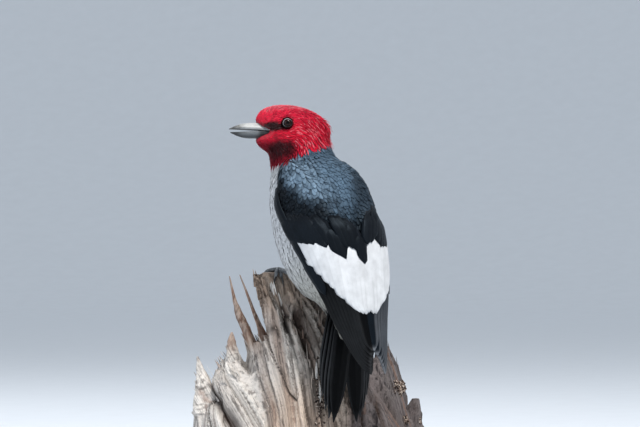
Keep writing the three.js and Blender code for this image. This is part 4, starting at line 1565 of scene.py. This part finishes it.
# A weathered standing snag: silver-grey long fibres, tan where the wood is fresh, near black with painted
# shade in the cracks, dull all over. Fibres are drawn 1 mm apart.
def woodMaterial():
    material, tree, shader = newMaterial("weatheredGreyWood", Roughness=0.85, Specular_IOR_Level=0.2)
    grain = addNode(tree, "Attribute", output="Vector", attribute_name="grain")
    solid = addNode(tree, "TexCoord", output="Object")
    # fibres, wider streaks and dark specks; each maps noise from one span to a span of shade
    close = addNode(tree, "Mapping", {"Vector": grain, "Scale": (1.0, 1.0, 0.03)})
    broad = addNode(tree, "Mapping", {"Vector": grain, "Scale": (0.2, 0.2, 0.012)})
    fibreForm = {"Vector": close, "Scale": 1.0, "Detail": 6.0, "Roughness": 0.7}
    fibres = addNode(tree, "TexNoise", fibreForm)
    streaks = addNode(tree, "TexNoise", {"Vector": broad, "Scale": 1.0, "Detail": 4.0})
    specks = addNode(tree, "TexNoise", {"Vector": solid, "Scale": 600.0, "Detail": 3.0})
    fine = addNode(tree, "MapRange", [fibres, 0.36, 0.55, 0.46, 1.1])
    wide = addNode(tree, "MapRange", [streaks, 0.3, 0.7, 0.8, 1.12])
    spots = addNode(tree, "MapRange", [specks, 0.34, 0.42, 0.78, 1.0])
    level = addNode(tree, "Math", [fine, wide], operation="MULTIPLY")
    worn = addNode(tree, "Math", [level, spots], operation="MULTIPLY")
    own = addNode(tree, "Attribute", attribute_name="wood")
    tone = addNode(tree, "VectorMath", {0: own, "Scale": worn}, operation="SCALE")
    finishSurface(tree, shader, tone, fibres, 1.0, 0.9)
    return material


# how far the grain moves across the broad face as it rises: it fans out to the left
def grainSlope(local):
    left = smoothStep(5, -45, local[:, 0]) * mix(1, 0.45, smoothStep(100, 145, local[:, 2]))
    return -0.6 * left - 0.15 * smoothStep(15, 45, local[:, 0])


# the grain's direction at each point, upwards
def grainDirection(points):
    slope = grainSlope(inPerch(points))
    flat = np.stack([slope, np.zeros(len(points)), np.ones(len(points))], 1)
    return unit(perchPoint(flat))


# Follows the grain down the wood's surface from each point. What it returns is where the fibre
# starts at the foot, across and through the wood, and the point's own height.
def grainPlace(points):
    foot = points.copy()
    heading = -grainDirection(points)
    level = perchSettings["foot"] + 5
    for _ in range(22):
        pick = np.flatnonzero(foot[:, 2] > level + 0.3)
        if len(pick) == 0:
            break
        near = [woodTree.find_nearest(p) for p in foot[pick].tolist()]
        place, normal = (np.array([hit[i][:] for hit in near]) for i in (0, 1))
        down = -grainDirection(place)
        down = unit(down - normal * dot(down, normal) + [0, 0, -0.05])
        reach = np.minimum(7, (place[:, 2:] - level) / np.maximum(-down[:, 2:], 0.2) + 0.1)
        foot[pick] = place + down * np.maximum(reach, 0.5)
        heading[pick] = down
    foot += heading * ((level - foot[:, 2:]) / np.minimum(heading[:, 2:], -0.3))
    local = inPerch(foot)
    across, through = (local[:, i] + 0.8 * valueNoise(points * 0.045, 51 + i) for i in (0, 1))
    return np.stack([across, through, points[:, 2]], 1)


# Splits the grain into bundles: how far each point is from its bundle's border, and the
# bundle's own value from -1 to 1.
def bundles(grain, size, seed):
    spot = grain[:, :2] / size
    cell = np.floor(spot)
    best = np.full(len(spot), 9.0)
    second, own = best.copy(), np.zeros(len(spot))
    for i in (-1, 0, 1):
        for j in (-1, 0, 1):
            key = np.stack([cell[:, 0] + i, cell[:, 1] + j, np.full(len(spot), 3.0)], 1)
            jog = np.stack([valueNoise(key, seed), valueNoise(key, seed + 1)], 1)
            reach = np.linalg.norm(spot - (key[:, :2] + 0.5 + 0.45 * jog), axis=1)
            closer = reach < best
            second = np.where(closer, best, np.minimum(second, reach))
            own = np.where(closer, valueNoise(key, seed + 2), own)
            best = np.minimum(best, reach)
    return (second - best) * size, own


woodShades = {
    "pale": colour("#dcd2c8"),
    "mid": colour("#b09d90"),
    "dark": colour("#3d312b"),
    "tan": colour("#c4a78f"),
    "silver": colour("#ded9d3"),
    "grey": colour("#5c585d"),
    "shadowAndStreakBrown": colour("#4d4039"),
    "brown": colour("#86695a"),
}


# long thin checks that run with the grain: 1 in their middle, 0 away from them
def checks(grain, size, wide, seed):
    run = valueNoise(grain * [1 / size, 1 / size, 0.012], seed)
    there = smoothStep(-0.1, 0.3, valueNoise(grain * [0.05, 0.05, 0.03], seed + 1))
    return there * np.exp(-((run / wide) ** 2))


# Open cracks in the broad face: each runs along its path of places across and up. The first is
# the hollow under the pale slab, the next a long check below the splinters, then the torn crest.
crackRows = [
    {"path": [[-72, 76], [-65, 70], [-57, 60], [-51, 50], [-49, 42]], "wide": 4.2, "deep": 5.5},
    {"path": [[-45, 135], [-36.5, 114.5], [-30.2, 98.7], [-22, 79.8], [-16.4, 71.6]], "wide": 0.8, "deep": 2},
    {"path": [[-37.5, 151], [-37, 146], [-35.5, 139]], "wide": 2.3, "deep": 6.5},
    {"path": [[-31.5, 151], [-31, 147], [-30, 142]], "wide": 1.4, "deep": 4.5},
    {"path": [[-24, 148], [-22.5, 135], [-20.5, 119]], "wide": 2.2, "deep": 5.0},
    {"path": [[-16, 140], [-13, 122], [-8, 100]], "wide": 1.2, "deep": 3.0},
    {"path": [[35, 82], [37.5, 62], [39.5, 44]], "wide": 1.3, "deep": 3.0},
    {"path": [[26, 66], [28.5, 54], [29, 43]], "wide": 0.9, "deep": 2.0},
]


# how deep a crack is at each point, in mm, and how much painted shade darkens it
def cracks(local):
    deep, dark = np.zeros(len(local)), np.zeros(len(local))
    front = smoothStep(8, 2, local[:, 1])
    wander = 0.7 * valueNoise(local / 5, 97)
    for crack in crackRows:
        line = smoothRows(crack["path"], np.linspace(0, 1, 40))
        near = np.abs(local[:, 2] - line[:, 1].mean()) < np.ptp(line[:, 1])
        spots = local[near]
        across = spots[:, None, 0] + wander[near][:, None] - line[None, :, 0]
        gap = np.min(np.hypot(across, spots[:, None, 2] - line[None, :, 1]), axis=1)
        there = np.exp(-((gap / crack["wide"]) ** 2)) * front[near]
        deep[near] = np.maximum(deep[near], there * crack["deep"])
        dark[near] = np.maximum(dark[near], there)
    return deep, dark


def woodShade(points, grain, groove, own):
    u, z = inPerch(points)[:, 0], points[:, 2]
    shades = woodShades
    stripes = valueNoise(grain * [0.3, 0.3, 0.012], 31) + 0.4 * own
    patches = valueNoise(grain * [0.06, 0.06, 0.02], 33)
    shade = mix(shades["mid"], shades["pale"], smoothStep(-0.8, 0.4, stripes)[:, None])
    # tan low in the middle and at the torn top, silver on the left slab, and on the right grey that is partly
    # the wood's own and partly painted shade
    tan = smoothStep(-38, -20, u) * smoothStep(95, 60, z) + smoothStep(120, 140, z)
    tan = np.clip(0.25 * smoothStep(0, 0.6, patches) + 0.6 * tan, 0, 0.8)
    shade = mix(shade, shades["tan"], tan[:, None])
    shade = mix(shade, shades["silver"], (0.7 * smoothStep(-28, -44, u) * smoothStep(108, 92, z))[:, None])
    shade = mix(shade, shades["grey"], (0.85 * smoothStep(13, 23, u))[:, None])
    # painted shadow of the bird on the wood under it, broken by dark streaks along the grain
    birdShadow = smoothStep(-19, -12, u - 0.12 * (z - 130)) * smoothStep(92, 108, z) * (u < 30)
    streak = smoothStep(-0.4, 0.3, valueNoise(grain * [0.35, 0.35, 0.012], 35))
    shade = mix(shade, shades["shadowAndStreakBrown"], (birdShadow * (0.2 + 0.55 * streak))[:, None])
    # darker at the torn top, and painted shade round the right side
    shade = shade * (mix(1, 0.82, smoothStep(125, 140, z)) * mix(1, 0.72, smoothStep(24, 40, u)))[:, None]
    burnt = smoothStep(0.45, 0.6, valueNoise(grain * [0.2, 0.2, 0.03], 37))
    shade = mix(shade, shades["brown"], (0.6 * burnt)[:, None])
    dash = valueNoise(grain * [1.1, 1.1, 0.09], 39) + 0.5 * valueNoise(grain * [0.5, 0.5, 0.04], 41)
    dash = 0.65 * smoothStep(0.42, 0.7, dash)
    # painted shade in the grooves and cracks, and the dark dashes along the grain
    return mix(shade, shades["dark"], np.clip(np.maximum(groove, dash), 0, 1)[:, None])


# how far points are from the bird, so that the wood under its feet and tail stays as it is
def birdGap(points):
    toBird = np.array([skinTree.find_nearest(p)[3] for p in points.tolist()])
    for side in (1, -1):
        sole = (footAt + [0, 0, -3]) * mirror(side)
        toBird = np.minimum(toBird, np.linalg.norm(points - sole, axis=1) - 9)
    return toBird


# cuts the splinters off a copy of the wood, since they are made afresh
def withoutSpikes(mesh):
    bm = bmesh.new()
    bm.from_mesh(mesh)
    points = np.array([v.co[:] for v in bm.verts]) * 1000
    local = inPerch(points)
    thin = np.zeros(len(points), bool)
    for spike in spikes:
        line = smoothRows(spike["rows"], np.linspace(0, 1, 60))
        u, d, wide = (np.interp(points[:, 2], line[:, 2], line[:, i]) for i in (0, 1, 3))
        near = np.hypot(local[:, 0] - u, local[:, 1] - d) < wide + 2.2
        thin |= near & (points[:, 2] > spike["clear"])
    bm.verts.ensure_lookup_table()
    bmesh.ops.delete(bm, geom=[bm.verts[i] for i in np.flatnonzero(thin)], context="VERTS")
    bmesh.ops.holes_fill(bm, edges=[e for e in bm.edges if e.is_boundary], sides=0)
    bm.to_mesh(mesh)
    bm.free()


def buildPerch(material):
    mesh = wrapped(["perch"], 0.0, perchSettings["voxel"])
    withoutSpikes(mesh)
    points = relaxed(meshPoints(mesh), meshEdges(mesh), 3)
    setPoints(mesh, points)
    normals = meshNormals(mesh)
    grain = grainPlace(points)
    gapWide, ownWide = bundles(grain, perchSettings["bundle"], 61)
    gapFine, ownFine = bundles(grain, perchSettings["strand"], 71)
    opened = smoothStep(-0.35, 0.25, valueNoise(grain * [0.06, 0.06, 0.02], 47))
    groove = opened * np.exp(-((gapWide / 0.7) ** 2))
    strand = np.exp(-((gapFine / 0.5) ** 2))
    split = np.maximum(checks(grain, 9, 0.05, 91), 0.8 * checks(grain, 5, 0.07, 93))
    crackDeep, crackShade = cracks(inPerch(points))
    fine = valueNoise(grain * [0.7, 0.7, 0.03], 43)
    deep = perchSettings["sinks"]
    sink = deep["groove"] * groove + deep["strand"] * strand + deep["split"] * split
    sink = sink + deep["bundle"] * (1 - ownWide) + deep["fibre"] * (1 - ownFine) + deep["fine"] * (1 + fine)
    sink += crackDeep
    room = smoothStep(0.5, 7, birdGap(points))
    sink *= smoothStep(42.2, 44, points[:, 2]) * mix(0.25, 1, room)
    top = smoothStep(0.3, 0.75, normals[:, 2]) * room
    drop = perchSettings["broken"]
    broken = top * (drop["strand"] * (1 - ownFine) + drop["bundle"] * (1 - ownWide))
    points = points - normals * sink[:, None] - np.array([0, 0, 1.0]) * broken[:, None]
    points[:, 2] = np.maximum(points[:, 2], perchSettings["foot"])
    setPoints(mesh, points)
    # painted shade in the grooves, between the strands, and in the splits and cracks
    dark = 0.6 * groove + 0.15 * strand + 0.9 * split + 0.9 * crackShade
    paint(mesh, "wood", woodShade(points, grain, dark, ownFine))
    store(mesh, "grain", grain)
    print("perch", len(mesh.polygons), "faces")
    addPiece("snag", mesh, material, "old_wood", ["perch"])
    return mesh, grain


# needle rows: how far along, and the share of its width
needleRows = np.array([[0, 0.8], [0.3, 1.0], [0.65, 0.7], [0.9, 0.35], [1.0, 0.08]])
needleAround = np.array([0.3, 1.8, 3.5, 5.0])


# Closed slivers of wood, each a flat four-sided needle from its root to a torn point.
def layNeedles(name, roots, grain, heading, outwards, length, width, shades, material):
    count, rows, ring = len(roots), len(needleRows), len(needleAround)
    side = unit(np.cross(heading, outwards))
    up = np.cross(side, heading)
    bend = chance.normal(0, 0.06, (count, 1))
    turn = np.cos(needleAround)[:, None] * side[:, None] + 0.55 * np.sin(needleAround)[:, None] * up[:, None]
    points = np.zeros((count, rows, ring, 3))
    for r, (along, half) in enumerate(needleRows):
        centre = roots + heading * (length * along)[:, None] + up * (bend * length[:, None] * along**2)
        jog = 1 + 0.2 * chance.normal(0, 1, (count, ring, 1))
        points[:, r] = centre[:, None] + turn * (width * half)[:, None, None] * jog
    template = outwardFaces(points[0].reshape(-1, 3), ringFaces(rows, ring))
    flat = points.reshape(-1, 3)
    mesh = newMesh(name, flat, repeatedFaces(template, rows * ring, count))
    shadeSmooth(mesh, False)
    shades, grain, roots = (np.repeat(values, rows * ring, axis=0) for values in (shades, grain, roots))
    paint(mesh, "wood", shades)
    store(mesh, "grain", grain + inPerch(flat - roots))
    addPiece(name, mesh, material, "old_wood")


# loose slivers: longer ones lie on the wood, shorter ones stand on its torn edges
def buildSlivers(mesh, grain, material):
    points, normals = meshPoints(mesh), meshNormals(mesh)
    edge = smoothStep(0.15, 0.6, normals[:, 2]) * smoothStep(60, 80, points[:, 2])
    weight = (0.05 + 3.0 * edge) * (points[:, 2] > 50) * (birdGap(points) > 5)
    count = perchSettings["slivers"]
    pick = chance.choice(len(points), count, replace=False, p=weight / weight.sum())
    roots, outwards = points[pick], normals[pick]
    standing = edge[pick] > 0.3
    lean = chance.normal(0, 0.06, (count, 3))
    direction = unit(grainDirection(roots) + lean + 0.03 * outwards * ~standing[:, None])
    length = np.where(standing, chance.uniform(2.5, 9, count), chance.uniform(4, 15, count))
    width = np.where(standing, chance.uniform(0.3, 0.9, count), chance.uniform(0.2, 0.45, count))
    shades = woodShade(roots, grain[pick], np.zeros(count), chance.uniform(-1, 1, count))
    shades *= chance.uniform(0.6, 1.25, count)[:, None]
    roots = roots - direction * 1.5 - outwards * 0.3
    facing = unit(outwards + 0.01)
    layNeedles("slivers", roots, grain[pick], direction, facing, length, width, shades, material)


# pale torn slivers by the feet and beside the tail: across, through, up and length in mm
tornRows = np.array(
    [
        [-29, -14, 137, 9],
        [-27.6, -15, 136, 10],
        [-24.5, -17, 130, 9],
        [-30.5, -12, 139, 6],
        [-2, -26, 84, 12],
        [0, -27, 70, 14],
    ]
)


def buildTornSlivers(mesh, material):
    roots = perchPoint(tornRows[:, :3])
    tree = surfaceTree(mesh, meshPoints(mesh))
    toCamera = -perchAxes[1]
    for i, p in enumerate(roots):
        hit = tree.ray_cast(Vector(p + toCamera * 60), Vector(-toCamera))
        if hit[0]:
            roots[i] = np.array(hit[0])
    ahead = unit(grainDirection(roots) + 0.08 * toCamera)
    pale, facing = (np.repeat(row[None], len(roots), 0) for row in (woodShades["silver"] * 1.1, toCamera))
    width = np.full(len(roots), 0.8)
    layNeedles("tornSlivers", roots - ahead, roots, ahead, facing, tornRows[:, 3], width, pale, material)


# the long splinters that stand clear of the wood, grooved along the grain
def buildSpikes(material):
    bm = bmesh.new()
    for i, spike in enumerate(spikes):

        def place(t, angle, rows=spike["rows"], i=i):
            u, d, z, wide, deep = smoothRows(rows, t).T
            ring = 1 + 0.16 * np.sin(3 * angle + i) + 0.1 * np.sin(7 * angle + 2 * i + 2 * t) - 0.06
            rough = np.stack([np.cos(angle) * 2, np.sin(angle) * 2, t * 14 + i * 9], 1)
            ring *= 1 + 0.12 * valueNoise(rough, 81)
            across, through = u + wide * ring * np.cos(angle), d + deep * ring * np.sin(angle)
            return perchPoint(np.stack([across, through, z], 1))

        rolledTube(bm, place, 60, 18)
    mesh = closedMesh("spikes", bm)
    points = meshPoints(mesh)
    grain = inPerch(points)
    grain[:, 0] -= grainSlope(grain) * (grain[:, 2] - perchSettings["foot"])
    tone = valueNoise(grain * [0.8, 0.8, 0.05], 83)
    shade = mix(woodShades["brown"], woodShades["mid"], smoothStep(-0.5, 0.5, tone)[:, None])
    stub = smoothStep(108, 98, points[:, 2])[:, None]
    paint(mesh, "wood", mix(shade, woodShade(points, grain, np.zeros(len(points)), tone), stub))
    store(mesh, "grain", grain)
    addPiece("spikes", mesh, material, "old_wood")


# crumbling bark and lichen on the right edge and beside the tail
def crumbMaterial():
    material, tree, shader = newMaterial("lichenCrust", Roughness=0.95, Specular_IOR_Level=0.1)
    solid = addNode(tree, "TexCoord", output="Object")
    mottle = addNode(tree, "TexNoise", {"Vector": solid, "Scale": 700.0, "Detail": 4.0})
    stops = [(0.38, "#1f1a19"), (0.49, "#54463f"), (0.58, "#9c8c80"), (0.72, "#d9d0c6")]
    finishSurface(tree, shader, addNode(tree, "ValToRGB", [mottle], stops=stops), mottle, 0.8, 0.4)
    return material


# an eight-sided crumb
crumbCorners = np.array([[1, 0, 0], [-1, 0, 0], [0, 1, 0], [0, -1, 0], [0, 0, 1], [0, 0, -1]], float)
crumbFaces = np.array(
    [[0, 2, 4], [2, 1, 4], [1, 3, 4], [3, 0, 4], [2, 0, 5], [1, 2, 5], [3, 1, 5], [0, 3, 5]]
)


def buildCrumbs(mesh):
    points, normals = meshPoints(mesh), meshNormals(mesh)
    u, d, z = inPerch(points).T
    right = smoothStep(50, 56, u + 0.25 * (z - 60)) * (z < 86)
    tailSide = np.exp(-(((u - 0.5) / 2.2) ** 2) - ((z - 76) / 14) ** 2) * (d < -8)
    clump = smoothStep(0.0, 0.45, valueNoise(points / 7, 99)) * smoothStep(30, 12, d)
    weight = (right * clump + 1.2 * tailSide) * (birdGap(points) > 1.5)
    count = perchSettings["crumbs"]
    pick = chance.choice(len(points), count, replace=False, p=weight / weight.sum())
    size = (chance.uniform(0.5, 1.4, count) * mix(1, 1.6, right[pick]))[:, None, None]
    lumps = crumbCorners * size * chance.uniform(0.6, 1.3, (count, 6, 3))
    lumps = points[pick][:, None] + normals[pick][:, None] * 0.3 + lumps
    piece = newMesh("barkCrumbs", lumps.reshape(-1, 3), repeatedFaces(crumbFaces, 6, count), 3)
    addPiece("barkCrumbs", piece, crumbMaterial(), "old_wood")


# the wood without its roughness, which the grain follows
def smoothWood():
    mesh = wrapped(["perch"], 0.0, 2.5)
    return surfaceTree(mesh, relaxed(meshPoints(mesh), meshEdges(mesh), 8))


oldWood = woodMaterial()
woodTree = smoothWood()
snagMesh, snagGrain = buildPerch(oldWood)
buildSlivers(snagMesh, snagGrain, oldWood)
buildTornSlivers(snagMesh, oldWood)
buildSpikes(oldWood)
buildCrumbs(snagMesh)


# turned base: black lacquer over fine-grained wood, satin, with the tool's faint rings
def lacquerMaterial():
    sockets = {"Roughness": 0.32, "Coat_Weight": 0.4, "Coat_Roughness": 0.15}
    material, tree, shader = newMaterial("blackLacquerOnWood", **sockets)
    solid = addNode(tree, "TexCoord", output="Object")
    dust = addNode(tree, "TexNoise", {"Vector": solid, "Scale": 220.0, "Detail": 5.0})
    shade = addNode(tree, "ValToRGB", [dust], stops=[(0.3, "#1b1c1e"), (0.75, "#2b2c2e")])
    ringForm = {"Vector": solid, "Scale": 260.0, "Distortion": 0.3}
    rings = addNode(tree, "TexWave", ringForm, "Fac", wave_type="RINGS", rings_direction="Z")
    finishSurface(tree, shader, shade, rings, 0.12, 0.2)
    return material


# brushed steel rod: fine lines round the bar
def steelMaterial():
    material, tree, shader = newMaterial("brushedSteel", Metallic=1.0, Roughness=0.32)
    solid = addNode(tree, "TexCoord", output="Object")
    stretch = addNode(tree, "Mapping", {"Vector": solid, "Scale": (60.0, 60.0, 2600.0)})
    lines = addNode(tree, "TexNoise", {"Vector": stretch, "Scale": 1.0, "Detail": 3.0})
    shade = addNode(tree, "ValToRGB", [lines], stops=[(0.3, "#8b8e91"), (0.7, "#b9bcbf")])
    finishSurface(tree, shader, shade)
    tree.links.new(addNode(tree, "MapRange", [lines, 0.0, 1.0, 0.24, 0.42]), shader.inputs["Roughness"])
    return material


# the groove's rows: how far in from the edge, and how deep
standSettings = {
    "radius": 84,
    "height": 12,
    "bevel": 1.5,
    "rod": 4,
    "groove": [(9, 0), (8.4, 0.5), (7.4, 0.7), (6.4, 0.5), (5.8, 0)],
}


# spins a profile of distances out and heights, in mm, about an upright through the centre
def turned(bm, profile, centre, steps):
    x, y = centre[0] * 0.001, centre[1] * 0.001
    verts = [bm.verts.new((x + out * 0.001, y, z * 0.001)) for out, z in profile]
    edges = [bm.edges.new(pair) for pair in zip(verts, verts[1:])]
    spin = {"cent": (x, y, 0), "axis": (0, 0, 1), "angle": 2 * math.pi, "steps": steps, "use_merge": True}
    bmesh.ops.spin(bm, geom=verts + edges, **spin)
    bmesh.ops.remove_doubles(bm, verts=bm.verts, dist=1e-6)


def buildStand():
    r, h, b = standSettings["radius"], standSettings["height"], standSettings["bevel"]
    corner = np.linspace(0, math.pi / 2, 7)
    curve = [(r - b + b * math.sin(a), h - b + b * math.cos(a)) for a in corner]
    foot = [(r - b + b * math.cos(a), b - b * math.sin(a)) for a in corner]
    groove = [(r - inwards, h - deep) for inwards, deep in standSettings["groove"]]
    bm = bmesh.new()
    turned(bm, [(0, h), (r * 0.4, h)] + groove + curve + foot + [(r * 0.5, 0), (0, 0)], (0, 0), 128)
    closedPiece("stand_base_turned", bm, lacquerMaterial(), "stand_paint", ["stand_base"])
    steel = steelMaterial()
    rod = standSettings["rod"]
    for name in ("stand_rod_1", "stand_rod_2"):
        low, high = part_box(name)
        centre = ((low.x + high.x) * 500, (low.y + high.y) * 500)
        bottom, top = low.z * 1000, high.z * 1000
        bm = bmesh.new()
        turned(bm, [(0, top), (rod, top), (rod, bottom), (0, bottom)], centre, 48)
        mesh = closedPiece(name + "_bar", bm, steel, "steel_rod", [name])
        for poly in mesh.polygons:
            poly.use_smooth = abs(poly.normal.z) < 0.5


buildStand()
print("stand made")


# plain pale paper, swept up behind
def paperMaterial():
    material, tree, shader = newMaterial(
        "palePaper", Roughness=0.9, Specular_IOR_Level=0.1, Emission_Strength=0.2,
        Emission_Color=(0.86, 0.93, 1.0, 1),
    )
    solid = addNode(tree, "TexCoord", output="Object")
    tooth = addNode(tree, "TexNoise", {"Vector": solid, "Scale": 40.0, "Detail": 4.0})
    shade = addNode(tree, "ValToRGB", [tooth], stops=[(0.3, "#c9cdd2"), (0.7, "#ccd0d5")])
    finishSurface(tree, shader, shade)
    return material


stageSettings = {"flat": 4000, "bend": 2500, "wall": 7000}
cameraSettings = {"distance": 2.24, "aim": 0.1878, "lens": 200}
toCamera = np.array([math.sin(cameraTurn), -math.cos(cameraTurn), 0])
toRight = np.array([math.cos(cameraTurn), math.sin(cameraTurn), 0])
# how far towards the camera, to the right and up each lamp stands, in metres
lamps = {
    "key": {"place": [0.75, 0.55, 1.7], "size": 0.5, "power": 42, "tint": (1.0, 0.97, 0.93)},
    "fill": {"place": [0.9, -1.1, 0.7], "size": 1.2, "power": 7, "tint": (0.85, 0.92, 1.0)},
    "rim": {"place": [-1.0, -0.5, 1.4], "size": 1.0, "power": 10, "tint": (0.95, 0.97, 1.0)},
}


def addObject(name, data):
    thing = bpy.data.objects.new(name, data)
    bpy.context.scene.collection.objects.link(thing)
    return thing


def turnedTo(direction):
    return Vector(direction).to_track_quat("-Z", "Y").to_euler()


def buildStage():
    bm = bmesh.new()
    flat, bend, wall = (stageSettings[key] for key in ("flat", "bend", "wall"))
    curve = [(flat + bend * math.sin(a), bend - bend * math.cos(a)) for a in np.linspace(0, math.pi / 2, 24)]
    turned(bm, [(0, 0), (flat * 0.3, 0)] + curve + [(flat + bend, wall)], (0, 0), 96)
    mesh = closedMesh("floor", bm)
    mesh.materials.append(paperMaterial())
    floor = addObject("floor", mesh)
    floor.visible_shadow = False  # so that light from outside still reaches the bird
    floor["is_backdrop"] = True


def buildLight():
    world = bpy.data.worlds.new("studio")
    bpy.context.scene.world = world
    world.use_nodes = True
    back = world.node_tree.nodes["Background"]
    back.inputs["Color"].default_value = (0.72, 0.8, 0.9, 1)
    back.inputs["Strength"].default_value = 0.42
    for name, lamp in lamps.items():
        forward, right, up = lamp["place"]
        data = bpy.data.lights.new(name, "AREA")
        data.shape = "DISK"
        data.size = lamp["size"]
        data.energy = lamp["power"]
        data.color = lamp["tint"]
        light = addObject(name, data)
        light.location = Vector(toCamera * forward + toRight * right) + Vector((0, 0, up))
        light.rotation_euler = turnedTo(Vector((0, 0, 0.18)) - light.location)


def buildCamera():
    data = bpy.data.cameras.new("camera")
    data.lens = cameraSettings["lens"]
    data.sensor_width = 36
    data.clip_end = 50
    camera = addObject("camera", data)
    away = Vector(toCamera) * cameraSettings["distance"]
    camera.location = Vector((0, 0, cameraSettings["aim"])) + away
    camera.rotation_euler = turnedTo(-away)
    bpy.context.scene.camera = camera


buildStage()
buildLight()
buildCamera()
bpy.context.scene.view_settings.view_transform = "Standard"
print("stage, light and camera set")

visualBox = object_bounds()
boxes = [[list(map(float, corner)) for corner in box] for box in (cadBox, visualBox)]
print("size", boxes)
